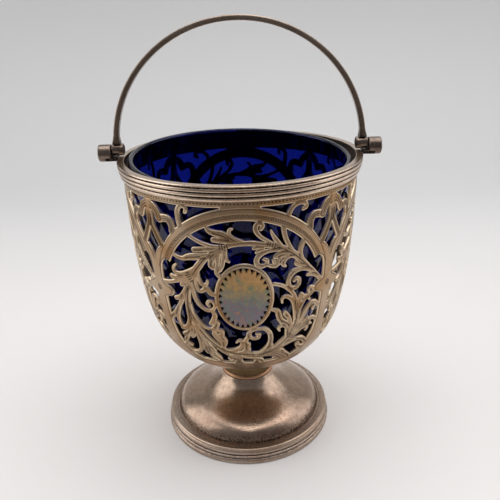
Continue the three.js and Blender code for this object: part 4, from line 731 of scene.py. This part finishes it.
    # An engraved ring round a darkened dot on each boss
    boss_dot = np.minimum(*(
        np.hypot(x - side, (y - boss_down) * 0.85) for side in (-half_panel, half_panel)
    ))
    engrave(near(boss_dot, 0.75, 0.3) * 0.9)
    engrave((boss_dot < 0.6) * 0.45)

    # The shield: a plain ring, a hatched ring and a row of bright-cut teeth round a plain middle
    right_of, below = (x - shield_across) / teeth_half_width, (y - shield_down) / teeth_half_height
    shield_turn = np.arctan2(below, right_of)
    hatched = 0.5 + 0.5 * np.sin(shield_turn * shield_cuts_pitch)
    engrave(near(shield_depth, shield_ring_inset, 0.16) * 0.7)
    engrave(near(shield_depth, shield_cuts_inset, 0.28) * hatched * 0.35 * (x < shield_across))
    teeth_at = np.hypot(right_of, below)
    phase = np.abs((shield_turn / (2 * math.pi) * teeth) % 1 - 0.5)
    narrowing = (teeth_at - tooth_inner) / (1 - tooth_inner)
    tooth = (teeth_at < 1.0) & (teeth_at > tooth_inner) & (phase < 0.34 * narrowing)
    engrave(tooth * 1.0)
    middle = np.clip((1.03 - teeth_at) / 0.08, 0, 1)

    # Ties: short cuts side by side across a stem where leaves spring from it
    for degrees, down, turn_degrees in ties:
        across = x - (degrees - drawn_middle) * mm_per_degree
        c, s = math.cos(math.radians(turn_degrees)), math.sin(math.radians(turn_degrees))
        along = across * s + (y - down) * c
        over = across * c - (y - down) * s
        short_cuts = (np.abs(along) < tie_half_length) & (np.abs(over) < tie_half_width)
        engrave(short_cuts * np.clip(np.sin(along * 8) * 1.6 - 0.1, 0, 1) * 0.9)

    dark = np.clip(dark, 0, 1)
    height = -relief * (1 - crown) - cut_depth * dark - tooth_depth * tooth
    # A painted highlight along the sawn edges, as if light caught their bevel, fading over the edge width
    edge = np.clip(1.25 - from_edge / edge_highlight_width, 0, 1) * (1 - dark)
    return np.stack([x, y, height, dark, edge, middle * (metal > 0)], axis=2), metal


def panel_mesh(name, step, lift=None):
    """The front panel. With a lift it is the plain inner face; without, the chased face and walls."""
    fields, metal = drawing_fields(step)
    metal[0, :] = np.maximum(metal[0, :], 0.1)
    inside = metal > 0
    count = int(inside.sum())
    index = np.full(metal.shape, -1)
    index[inside] = np.arange(count)
    crossings = {}
    extra = []

    def crossing(a, b):
        """The vertex where the metal's edge crosses the side between two grid corners."""
        key = (a, b) if a < b else (b, a)
        if key not in crossings:
            share = float(np.clip(metal[a] / (metal[a] - metal[b]), 0.03, 0.97))
            point = fields[a] * (1 - share) + fields[b] * share
            point[2] = min(fields[a][2] if metal[a] > 0 else fields[b][2], -wall_drop)
            point[3] *= 0.2
            crossings[key] = count + len(extra)
            extra.append(point)
        return crossings[key]

    # Cells all inside the metal are squares; those on its edge are cut off where it crosses them
    corners_inside = inside[:-1, :-1], inside[:-1, 1:], inside[1:, 1:], inside[1:, :-1]
    whole = np.logical_and.reduce(corners_inside)
    some = np.logical_or.reduce(corners_inside) & ~whole
    j, i = np.nonzero(whole)
    faces = np.stack([index[j, i], index[j + 1, i], index[j + 1, i + 1], index[j, i + 1]], axis=1).tolist()
    rims = []
    for j, i in zip(*np.nonzero(some)):
        corners = [(j, i), (j + 1, i), (j + 1, i + 1), (j, i + 1)]
        face = []
        for a, b in zip(corners, corners[1:] + corners[:1]):
            if inside[a]:
                face.append(int(index[a]))
            if inside[a] != inside[b]:
                face.append(crossing(a, b))
        faces.append(face)
        rims += [(a, b) for a, b in zip(face, face[1:] + face[:1]) if a >= count and b >= count]

    # Bent round the bowl, each panel over a quarter of it
    table = np.vstack([fields[inside], np.array(extra)])
    turn = table[:, 0] * math.radians(360 / panels) / (2 * half_panel)
    if lift is None:
        deep = np.where(table[:, 1] > -border_depth + 0.01, table[:, 2], 0)
        radius, height = on_bowl(border_depth + table[:, 1], deep)
        inner_radius, inner_height = on_bowl(border_depth + table[:, 1], -bowl_sheet)
        rim_corners = sorted({corner for rim in rims for corner in rim})
        lower = {corner: len(table) + k for k, corner in enumerate(rim_corners)}
        radius = np.concatenate([radius, inner_radius[rim_corners]])
        height = np.concatenate([height, inner_height[rim_corners]])
        table = np.vstack([table, table[rim_corners]])
        turn = np.concatenate([turn, turn[rim_corners]])
        faces += [(b, a, lower[a], lower[b]) for a, b in rims]
    else:
        radius, height = on_bowl(border_depth + table[:, 1], lift)
        faces = [face[::-1] for face in faces]
    places = np.stack([radius * np.sin(turn), -radius * np.cos(turn), height], axis=1) * mm
    mesh = bpy.data.meshes.new(name)
    mesh.from_pydata(places.tolist(), [], faces)
    marks = np.ones((len(table), 4))
    marks[:, 0:3] = table[:, 3:6]
    # The attribute carries the engraved marks, the painted edge highlight and the shield's plain middle
    engraving_and_edge_light = mesh.color_attributes.new("engraving_and_edge_light", "FLOAT_COLOR", "POINT")
    engraving_and_edge_light.data.foreach_set("color", marks.ravel())
    corners = np.zeros(len(mesh.loops), dtype=int)
    mesh.loops.foreach_get("vertex_index", corners)
    drawing = mesh.uv_layers.new(name="Drawing")
    drawing.data.foreach_set("uv", (table[corners, 0:2] * 0.01).ravel())
    mesh.shade_smooth()
    return mesh


def chased_silver():
    """Pierced sheet: warm worn silver, with a painted highlight along the sawn edges, dark brown in the
    chased lines.
    """
    finish = Finish("Chased silver")
    engraving_and_edge_light = finish.add("ShaderNodeAttribute", attribute_name="engraving_and_edge_light").outputs["Color"]
    mark = finish.add("ShaderNodeSeparateColor", {"Color": engraving_and_edge_light}).outputs
    dark, edge, middle = mark["Red"], mark["Green"], mark["Blue"]
    patches = finish.noise(60.0, detail=5.0, roughness=0.6)
    fine = finish.noise(700.0, detail=3.0)
    stained = finish.spread(patches, low=0.38, high=0.64)
    amber = finish.mixed(stained, colour(178, 156, 131), colour(158, 122, 82))

    # On the shield the tarnish runs from amber at the top to a mauve grey low down
    drawing = finish.add("ShaderNodeUVMap", uv_map="Drawing").outputs["UV"]
    down = finish.add("ShaderNodeSeparateXYZ", {"Vector": drawing}).outputs["Y"]
    down = finish.times(fine, 0.2, plus=finish.times(patches, 0.22, plus=down))
    ramp = finish.add("ShaderNodeValToRGB", {"Fac": finish.spread(down, low=0.4, high=0.64)})
    elements = ramp.color_ramp.elements
    for i, (position, tint) in enumerate([
        (0.0, colour(184, 144, 98)), (0.3, colour(165, 136, 92)), (0.48, colour(140, 129, 103)),
        (0.66, colour(118, 118, 115)), (0.84, colour(114, 107, 117)), (1.0, colour(128, 112, 110)),
    ]):
        stop = elements[i] if i < 2 else elements.new(position)
        stop.position, stop.color = position, tint
    film = finish.spread(finish.noise(230.0, detail=3.0), low=0.52, high=0.7)
    filmed = finish.mixed(film, ramp.outputs["Color"], colour(100, 122, 104))
    specks = finish.spread(fine, low=0.54, high=0.8)
    speckled = finish.mixed(specks, filmed, colour(156, 116, 92))
    plate = finish.mixed(middle, amber, speckled)
    # Painted highlight: pale cream along the sawn edges, where light would catch the bevel
    pale = finish.mixed(finish.times(edge, 0.8), plate, colour(222, 202, 172))
    shine = finish.spread(patches, low=0.3, high=0.7, to_low=0.24, to_high=0.4)
    fill(finish.shader, {
        "Base Color": finish.mixed(dark, pale, colour(20, 13, 9)),
        "Metallic": 1.0,
        "Roughness": finish.times(dark, 0.35, plus=shine),
        "Normal": finish.bumps(fine, strength=0.15, distance=0.0002),
    })
    return finish.material


bowl_silver = chased_silver()
inner_silver = silver(
    "Bowl inner silver", colour(176, 160, 140), colour(120, 100, 80), colour(30, 24, 20), rough=0.4
)
outer_face = panel_mesh("Bowl_panel", step=0.17)
inner_face = panel_mesh("Bowl_panel_inside", step=0.4, lift=-bowl_sheet)
for k in range(panels):
    for name, face, material in (
        ("Bowl_panel", outer_face, bowl_silver), ("Bowl_panel_inside", inner_face, inner_silver)
    ):
        mesh = face.copy()
        mesh.transform(Matrix.Rotation(k * 2 * math.pi / panels, 4, "Z"))
        mesh.materials.append(material)
        piece = bpy.data.objects.new(f"{name}_{k + 1}", mesh)
        bpy.context.collection.objects.link(piece)
        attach(piece, "basket")
        if material is bowl_silver and k == 0:
            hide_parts("pierced_bowl")
bpy.data.meshes.remove(outer_face)
bpy.data.meshes.remove(inner_face)


# Under the pierced part the sheet is plain, with one engraved line round it
def cup_point(distance, lift, grime):
    """A point of the plain cup's profile, at a distance down the bowl's line."""
    radius, height = on_bowl(distance, lift)
    return [max(float(radius), 0), float(height), grime]


cup_from = border_depth + pierced_reach
cup_along = np.linspace(cup_from, bowl_along[-1], 24)
cup_line = [cup_point(distance, 0, 0.1) for distance in cup_along]
cup_line[-1][0] = 0
inside_line = [cup_point(distance, -bowl_sheet, 0.4) for distance in cup_along[::-1]]
inside_line[0][0] = 0
engraved_ring = ((0.5, 0, 0.1), (0.6, -0.12, 1.0), (0.85, -0.12, 1.0), (0.95, 0, 0.1))
cup_line[1:1] = [cup_point(cup_from + along, lift, grime) for along, lift, grime in engraved_ring]
cup_silver = silver(
    "Cup silver", colour(178, 158, 134), colour(138, 112, 86), colour(34, 24, 18), rough=0.3, patch=60.0
)
bowl_cup = finished("Bowl_cup", turned_mesh("Bowl_cup", cup_line), cup_silver, "basket")
cup_lining = finished("Bowl_cup_inside", turned_mesh("Bowl_cup_inside", inside_line), inner_silver, "basket")


def dots_tree():
    """Small round punch marks side by side on a ring round the Z axis."""
    tree = bpy.data.node_groups.new("Punched dots", "GeometryNodeTree")
    tree.is_modifier = True
    for label, kind in (
        ("Radius", "NodeSocketFloat"), ("Height", "NodeSocketFloat"), ("Dots", "NodeSocketInt"),
        ("Dot radius", "NodeSocketFloat"), ("Finish", "NodeSocketMaterial"),
    ):
        tree.interface.new_socket(label, in_out="INPUT", socket_type=kind)
    tree.interface.new_socket("Geometry", in_out="OUTPUT", socket_type="NodeSocketGeometry")
    given = add_node(tree, "NodeGroupInput").outputs
    ring = add_node(tree, "GeometryNodeMeshCircle", {"Vertices": given["Dots"], "Radius": given["Radius"]})
    height = add_node(tree, "ShaderNodeCombineXYZ", {"Z": given["Height"]})
    inputs = {"Geometry": ring.outputs["Mesh"], "Translation": height.outputs["Vector"]}
    lifted = add_node(tree, "GeometryNodeTransform", inputs)
    inputs = {"Segments": 10, "Rings": 6, "Radius": given["Dot radius"]}
    dot = add_node(tree, "GeometryNodeMeshUVSphere", inputs)
    inputs = {"Points": lifted.outputs["Geometry"], "Instance": dot.outputs["Mesh"]}
    dots = add_node(tree, "GeometryNodeInstanceOnPoints", inputs)
    real = add_node(tree, "GeometryNodeRealizeInstances", {"Geometry": dots.outputs["Instances"]})
    inputs = {"Geometry": real.outputs["Geometry"], "Material": given["Finish"]}
    dressed = add_node(tree, "GeometryNodeSetMaterial", inputs)
    output = add_node(tree, "NodeGroupOutput", {"Geometry": dressed.outputs["Geometry"]})
    output.is_active_output = True
    return tree


def grown(name, tree, values):
    """The plain mesh that a tree makes with these named inputs."""
    holder = bpy.data.objects.new(name + " holder", bpy.data.meshes.new(name + " seed"))
    bpy.context.collection.objects.link(holder)
    modifier = holder.modifiers.new(tree.name, "NODES")
    modifier.node_group = tree
    for socket in tree.interface.items_tree:
        if socket.in_out == "INPUT" and socket.name in values:
            modifier[socket.identifier] = values[socket.name]
    seen = bpy.context.evaluated_depsgraph_get()
    mesh = bpy.data.meshes.new_from_object(holder.evaluated_get(seen), depsgraph=seen)
    bpy.data.objects.remove(holder)
    mesh.name = name
    return mesh


punch_grime = silver(
    "Punched grime", colour(44, 30, 20), colour(30, 20, 14), colour(16, 11, 8), rough=0.5, patch=200.0
)
dots_down = 4.7
dots_sunk = 0.12
dot_radius = 0.28
dots_radius, dots_height = on_bowl(dots_down, -dots_sunk)
dots_mesh = grown("Punched_dots", dots_tree(), {
    "Radius": float(dots_radius) * mm, "Height": float(dots_height) * mm, "Dots": 230,
    "Dot radius": dot_radius * mm, "Finish": punch_grime,
})
border_dots = finished("Punched_dots", dots_mesh, punch_grime, "basket")

# Rim band
# The reeded moulding round the bowl's mouth: drawn silver wire with a thin lip, two reeds and a
# hollow step below them, bent to a ring and soldered over the sheet's edge.
rim_low, rim_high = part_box("rim_band")
rim_radius = rim_high[0] / mm
rim_top = rim_high[2] / mm
rim_bottom = rim_low[2] / mm
rim_inner = bowl_radius - bowl_sheet + 0.1
rim_silver = silver(
    "Rim silver", colour(220, 200, 180), colour(154, 128, 106), colour(20, 14, 10), rough=0.18, patch=40.0
)

# Its face from the lip down: how far in from the rim's edge, how far below its top, and grime
rim_face = [[rim_inner, rim_top - 0.15, 0.6], [rim_inner + 0.2, rim_top, 0]]
rim_face += [[rim_radius - inset, rim_top - down, grime] for inset, down, grime in (
    (0.45, 0, 0), (0.15, 0.1, 0), (0.02, 0.4, 0.1), (0.5, 0.75, 1.3), (0.1, 1.1, 0.1), (0.01, 1.5, 0),
    (0.12, 1.9, 0.1), (0.7, 2.2, 1.3), (0.3, 2.55, 0.1), (0.24, 2.95, 0), (0.42, 3.35, 0.1),
    (1.0, 3.7, 1.3), (0.68, 4.05, 0.1), (0.7, 4.5, 0.0), (0.95, 5.0, 0.2),
)]
rim_face.append([rim_radius - 1.6, rim_bottom, 1.0])
rim_line = [list(point) for point in smooth_line(rim_face, 5)]
rim_line += [[rim_inner, rim_bottom, 0.9], rim_line[0]]
rim_band = finished("Rim_band", turned_mesh("Rim_band", rim_line, around=320), rim_silver, "basket")
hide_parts("rim_band")

# Hinge lugs, pins and knuckles
# At each side a round lug stands out from the rim on a short tongue, soldered on. A pin set in it
# runs through the knuckle brazed to the strap's end, so the handle swings.
hinge_silver = silver(
    "Hinge silver", colour(132, 118, 107), colour(78, 64, 56), colour(20, 14, 11),
    rough=0.28, patch=120.0, scratch=0.2, pits=0.25,
)
lug_radius = 3.0
barrel_length = 4.7
tongue_width = 5.4
tongue_thickness = 1.3
tongue_bevel = 0.25
tongue_grime = 0.7
pin_radius = 0.83
bore_radius = 0.91


def lying(mesh, axis_height, side):
    """A mesh turned round Z laid along X at a height, on the right (1) or the left (-1)."""
    turn = Matrix.Rotation(math.pi / 2 * side, 4, "Y")
    mesh.transform(Matrix.Translation((0, 0, axis_height * mm)) @ turn)
    return mesh


def across_span(low, high):
    """The inner and the outer distance of a box from the basket's middle, in millimetres."""
    return sorted([abs(low[0]) / mm, abs(high[0]) / mm])


for side, word in ((1, "right"), (-1, "left")):
    low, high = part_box(f"lug_{word}")
    inner, outer = across_span(low, high)
    barrel_from = outer - barrel_length
    lug_axis = high[2] / mm - lug_radius
    lug_side = smooth_line([
        [lug_radius - 0.7, barrel_from, 0.7], [lug_radius - 0.25, barrel_from + 0.1, 0.2],
        [lug_radius - 0.02, barrel_from + 0.45, 0], [lug_radius, barrel_from + 1.0, 0],
        [lug_radius, outer - 0.8, 0], [lug_radius - 0.12, outer - 0.3, 0],
        [lug_radius - 0.5, outer - 0.08, 0], [lug_radius * 0.5, outer - 0.02, 0.1],
        [0, outer - 0.01, 0.2],
    ], 5)
    lug_line = [[0, barrel_from, 0.8]] + [list(point) for point in lug_side]
    lug_mesh = lying(turned_mesh(f"Lug_{word}", lug_line, around=96), lug_axis, side)
    lug = finished(f"Lug_{word}", lug_mesh, hinge_silver, "basket")
    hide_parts(f"lug_{word}")

    tongue_to = outer - barrel_length / 2
    tongue_place = (side * (inner + tongue_to) / 2 * mm, 0, (rim_top - tongue_thickness / 2) * mm)
    tongue_size = ((tongue_to - inner) * mm, tongue_width * mm, tongue_thickness * mm, 1)
    work = bmesh.new()
    bmesh.ops.create_cube(
        work, size=1.0, matrix=Matrix.Translation(tongue_place) @ Matrix.Diagonal(tongue_size)
    )
    bmesh.ops.bevel(work, geom=work.edges[:], offset=tongue_bevel * mm, segments=3, affect="EDGES")
    tongue_mesh = bpy.data.meshes.new(f"Tongue_{word}")
    work.to_mesh(tongue_mesh)
    work.free()
    tongue_mesh.attributes.new("dirt", "FLOAT", "POINT").data.foreach_set(
        "value", [tongue_grime] * len(tongue_mesh.vertices)
    )
    tongue = finished(f"Tongue_{word}", tongue_mesh, hinge_silver, "basket")

    low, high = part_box(f"hinge_pin_{word}")
    inner, outer = across_span(low, high)
    pivot = (low[2] + high[2]) / 2 / mm
    pin_line = [
        [0, inner, 0.2], [0.6, inner + 0.05, 0.2], [0.8, inner + 0.25, 0.1],
        [pin_radius, inner + 0.5, 0.1], [pin_radius, outer, 0.6], [0, outer, 0.6],
    ]
    pin_mesh = lying(turned_mesh(f"Hinge_pin_{word}", pin_line, around=48), pivot, side)
    pin = finished(f"Hinge_pin_{word}", pin_mesh, hinge_silver, "basket")
    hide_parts(f"hinge_pin_{word}")

    low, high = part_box(f"handle_knuckle_{word}")
    inner, outer = across_span(low, high)
    knuckle_radius = high[2] / mm - pivot
    knuckle_line = [
        [bore_radius, inner + 0.15, 1], [1.1, inner, 0.4],
        [knuckle_radius - 0.35, inner, 0.1], [knuckle_radius - 0.1, inner + 0.12, 0],
        [knuckle_radius, inner + 0.4, 0], [knuckle_radius, outer - 0.35, 0],
        [knuckle_radius - 0.1, outer - 0.1, 0.1], [knuckle_radius - 0.35, outer, 0.3],
        [bore_radius, outer, 0.9], [bore_radius, inner + 0.15, 1],
    ]
    knuckle_mesh = lying(turned_mesh(f"Handle_knuckle_{word}", knuckle_line, around=72), pivot, side)
    knuckle = finished(f"Handle_knuckle_{word}", knuckle_mesh, hinge_silver, "handle")
    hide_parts(f"handle_knuckle_{word}")

# Handle strap
# One flat strip of silver with a raised thread along each edge of its outer face, bent to half an
# oval and brazed to the knuckles at both ends; a little narrower there than at the top.
strap_low, strap_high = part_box("handle_strap")
strap_rise = strap_high[2] / mm - pivot
strap_outer = rim_radius + 1.2
strap_thickness = 1.8
strap_width = (strap_high[1] - strap_low[1]) / mm
strap_end_width = 3.2
strap_end_flare = 0.55
strap_end_steps = 6
strap_steps = 220

# Round the strip's section: share of its width, share of its thickness, and grime
strap_section = [
    [-0.5, -0.3, 0.1], [-0.47, -0.46, 0], [-0.4, -0.5, 0], [-0.2, -0.5, 0], [0.0, -0.5, 0], [0.2, -0.5, 0],
    [0.4, -0.5, 0], [0.47, -0.46, 0], [0.5, -0.3, 0.1], [0.5, -0.1, 0], [0.49, 0.12, 0], [0.46, 0.32, 0],
    [0.42, 0.45, 0], [0.37, 0.5, 0], [0.31, 0.38, 0.9], [0.26, 0.38, 0.4], [0.1, 0.4, 0.0],
    [-0.1, 0.4, 0.0], [-0.26, 0.38, 0.4], [-0.31, 0.38, 0.9], [-0.37, 0.5, 0], [-0.42, 0.45, 0],
    [-0.46, 0.32, 0], [-0.49, 0.12, 0], [-0.5, -0.1, 0],
]
strap_start = math.asin((knuckle_radius + 0.1) / (strap_rise - strap_thickness))
places, dirt, faces = [], [], []
for step in range(strap_steps + 1):
    turn = strap_start + (math.pi - 2 * strap_start) * step / strap_steps
    width = strap_end_width + (strap_width - strap_end_width) * math.sin(turn)
    near_end = max(0.0, 1 - min(step, strap_steps - step) / strap_end_steps)
    for across, out, grime in strap_section:
        lift = (out - 0.5) * strap_thickness + math.copysign(strap_end_flare * near_end ** 2, out)
        places.append((
            (strap_outer + lift) * math.cos(turn) * mm, across * width * mm,
            (pivot + (strap_rise + lift) * math.sin(turn)) * mm,
        ))
        dirt.append(max(grime, 0.6 * near_end))
ring_size = len(strap_section)
for step in range(strap_steps):
    for k in range(ring_size):
        here, beside = step * ring_size + k, step * ring_size + (k + 1) % ring_size
        faces.append((here, beside, beside + ring_size, here + ring_size))
faces += [tuple(range(ring_size)), tuple(range(strap_steps * ring_size, (strap_steps + 1) * ring_size))]
strap_mesh = bpy.data.meshes.new("Handle_strap")
strap_mesh.from_pydata(places, [], faces)
strap_mesh.attributes.new("dirt", "FLOAT", "POINT").data.foreach_set("value", dirt)
strap_silver = silver(
    "Strap silver", colour(154, 139, 125), colour(104, 88, 75), colour(24, 17, 13),
    rough=0.27, patch=45.0, scratch=0.18, pits=0.2,
)
handle_strap = finished("Handle_strap", strap_mesh, strap_silver, "handle")
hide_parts("handle_strap")

# Glass liner
# A cobalt blue glass cup, blown in a mould, with a ground and polished lip. It lifts out, and sits
# in the bowl askew, with its left side and its back up.
liner_wall = 2.0
liner_gap = 1.1
lean_left, lean_back = math.radians(1.4), math.radians(2.7)
liner_slope = math.tan(math.hypot(lean_left, lean_back))
liner_forward = 0.6
liner_narrowing = 0.6
liner_from, liner_to = 0.02, 0.955
liner_rounding = 3
liner_top = rim_top - 0.2
liner_bottom = bowl_top - bowl_depth + bowl_sheet + 0.1 + bowl_radius / 3 * liner_slope


def liner_side(inset, bottom):
    """The liner's line from its mouth down to its flat bottom, moved in by an inset."""
    side = []
    for share in np.linspace(liner_from, liner_to, 70):
        radius, height = on_bowl(bowl_along[-1] * share, -bowl_sheet - liner_gap)
        narrower = (bowl_top - float(height)) * (liner_slope + liner_narrowing / bowl_depth)
        radius = float(radius) - narrower - inset
        if height > bottom + 0.25 and radius > liner_rounding:
            side.append([radius, float(height), 0])
    return side + [[side[-1][0] - liner_rounding, bottom, 0], [0, bottom, 0]]


outer_side = liner_side(0, liner_bottom)
inner_side = liner_side(liner_wall, liner_bottom + liner_wall)
lip_out, lip_in = outer_side[0][0], inner_side[0][0]
lip = smooth_line([
    [lip_in, liner_top - 0.9, 0], [lip_in + 0.08, liner_top - 0.5, 0],
    [lip_in + 0.4, liner_top - 0.12, 0], [(lip_in + lip_out) / 2, liner_top, 0],
    [lip_out - 0.4, liner_top - 0.12, 0], [lip_out - 0.08, liner_top - 0.5, 0],
    [lip_out, liner_top - 0.9, 0],
], 4)
liner_line = inner_side[::-1] + [list(point) for point in lip] + outer_side
liner_mesh = turned_mesh("Glass_liner", liner_line, around=256)
lean = Matrix.Rotation(lean_back, 4, "X") @ Matrix.Rotation(lean_left, 4, "Y")
raised = Matrix.Translation((0, 0, bowl_top * mm))
forward = Matrix.Translation((0, -liner_forward * mm, 0))
liner_mesh.transform(forward @ raised @ lean @ raised.inverted())
cobalt = Finish("Cobalt glass")
deep_blue, paler_blue = (0.003, 0.007, 0.17, 1.0), (0.004, 0.01, 0.2, 1.0)
fill(cobalt.shader, {
    "Base Color": cobalt.mixed(cobalt.noise(30.0, detail=3.0), deep_blue, paler_blue),
    "Roughness": 0.03,
    "IOR": 1.5,
    "Specular Tint": (0.45, 0.5, 1.0, 1.0),
    "Transmission Weight": 1.0,
    "Normal": cobalt.bumps(cobalt.noise(45.0, detail=1.0), strength=0.05, distance=0.001),
})
glass_liner = finished("Glass_liner", liner_mesh, cobalt.material, "liner")
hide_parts("glass_liner")

# Stage
# A pale paper sweep, a level floor that curves up to a backdrop, with painted shade that greys it far back
# and near the front, lit by large soft lamps in a room that is dim behind the camera.
sweep_near, sweep_far, sweep_radius, sweep_half, sweep_top = -1.2, 0.55, 0.18, 1.4, 1.3
sweep_steps = 12
sweep_line = [(sweep_near, 0.0), (sweep_far - sweep_radius, 0.0)]
for step in range(1, sweep_steps + 1):
    turn = math.pi / 2 * step / sweep_steps
    along = sweep_far - sweep_radius + sweep_radius * math.sin(turn)
    sweep_line.append((along, sweep_radius - sweep_radius * math.cos(turn)))
sweep_line.append((sweep_far, sweep_top))
sweep_mesh = bpy.data.meshes.new("Sweep")
sweep_mesh.from_pydata(
    [(side * sweep_half, y, z) for y, z in sweep_line for side in (-1, 1)], [],
    [(2 * i, 2 * i + 1, 2 * i + 3, 2 * i + 2) for i in range(len(sweep_line) - 1)],
)
sweep_mesh.shade_smooth()
paper = Finish("Paper sweep")
grain = paper.mixed(paper.noise(12.0, detail=2.0), colour(226, 223, 221), colour(222, 219, 217))
front_to_back = paper.add("ShaderNodeSeparateXYZ", {"Vector": paper.place}).outputs["Y"]
# Painted shade: the paper greys with distance towards the backdrop, for the lamps' light falling off
farther = paper.spread(front_to_back, low=-0.02, high=0.3)
shaded = paper.mixed(farther, grain, colour(199, 199, 199))
# Painted shade: the floor darkens near the camera, standing for the dark room past the paper's front edge
nearer = paper.spread(front_to_back, low=-0.12, high=-0.24)
dimmed = paper.mixed(nearer, shaded, colour(128, 118, 112))
fill(paper.shader, {"Base Color": dimmed, "Roughness": 0.7})
sweep_mesh.materials.append(paper.material)
sweep = bpy.data.objects.new("Sweep", sweep_mesh)
bpy.context.collection.objects.link(sweep)


def soft_lamp(name, place, aim, size, power, tint):
    """A square soft lamp at a place, facing a point."""
    light = bpy.data.lights.new(name, "AREA")
    light.shape = "RECTANGLE"
    light.size, light.size_y = size
    light.energy = power
    light.color = tint
    lamp = bpy.data.objects.new(name, light)
    lamp.location = place
    lamp.rotation_euler = (Vector(aim) - Vector(place)).to_track_quat("-Z", "Y").to_euler()
    bpy.context.collection.objects.link(lamp)


soft_lamp("Overhead", (0.05, 0.04, 0.75), (0, 0, 0.05), (0.8, 0.8), 4.75, (1.0, 0.985, 0.97))
soft_lamp("Left", (-0.75, -0.02, 0.4), (0, 0, 0.08), (0.8, 0.9), 2.9, (1.0, 0.99, 0.98))
soft_lamp("Right", (0.75, 0.08, 0.45), (0, 0, 0.08), (0.8, 0.9), 2.4, (0.98, 0.99, 1.0))

# The room: dimmer towards the camera's side than behind the backdrop
world = bpy.data.worlds.new("Room")
bpy.context.scene.world = world
world.use_nodes = True
sky = world.node_tree
direction = add_node(sky, "ShaderNodeTexCoord").outputs["Generated"]
toward = add_node(sky, "ShaderNodeMapRange", {
    "Value": add_node(sky, "ShaderNodeSeparateXYZ", {"Vector": direction}).outputs["Y"],
    "From Min": -0.75, "From Max": 0.15, "To Min": 0.22, "To Max": 0.6,
})
fill(sky.nodes["Background"], {"Strength": toward.outputs["Result"], "Color": (0.95, 0.95, 1.0, 1.0)})

# The camera looks down at the basket from the front, at the angle fitted to the rim and the foot
camera_data = bpy.data.cameras.new("Camera")
camera_data.sensor_width = 36
camera_data.lens = 39.73
camera_data.dof.use_dof = False
camera = bpy.data.objects.new("Camera", camera_data)
camera_place = (0.002509, -0.193767, 0.155040)
right = (0.99956, -0.01157, -0.02746)
up = (0.02980, 0.38801, 0.92117)
back = (0.0, -0.92158, 0.38818)
camera.matrix_world = Matrix([*zip(right, up, back, camera_place), (0, 0, 0, 1)])
bpy.context.collection.objects.link(camera)
bpy.context.scene.camera = camera
bpy.context.scene.view_settings.view_transform = "Standard"
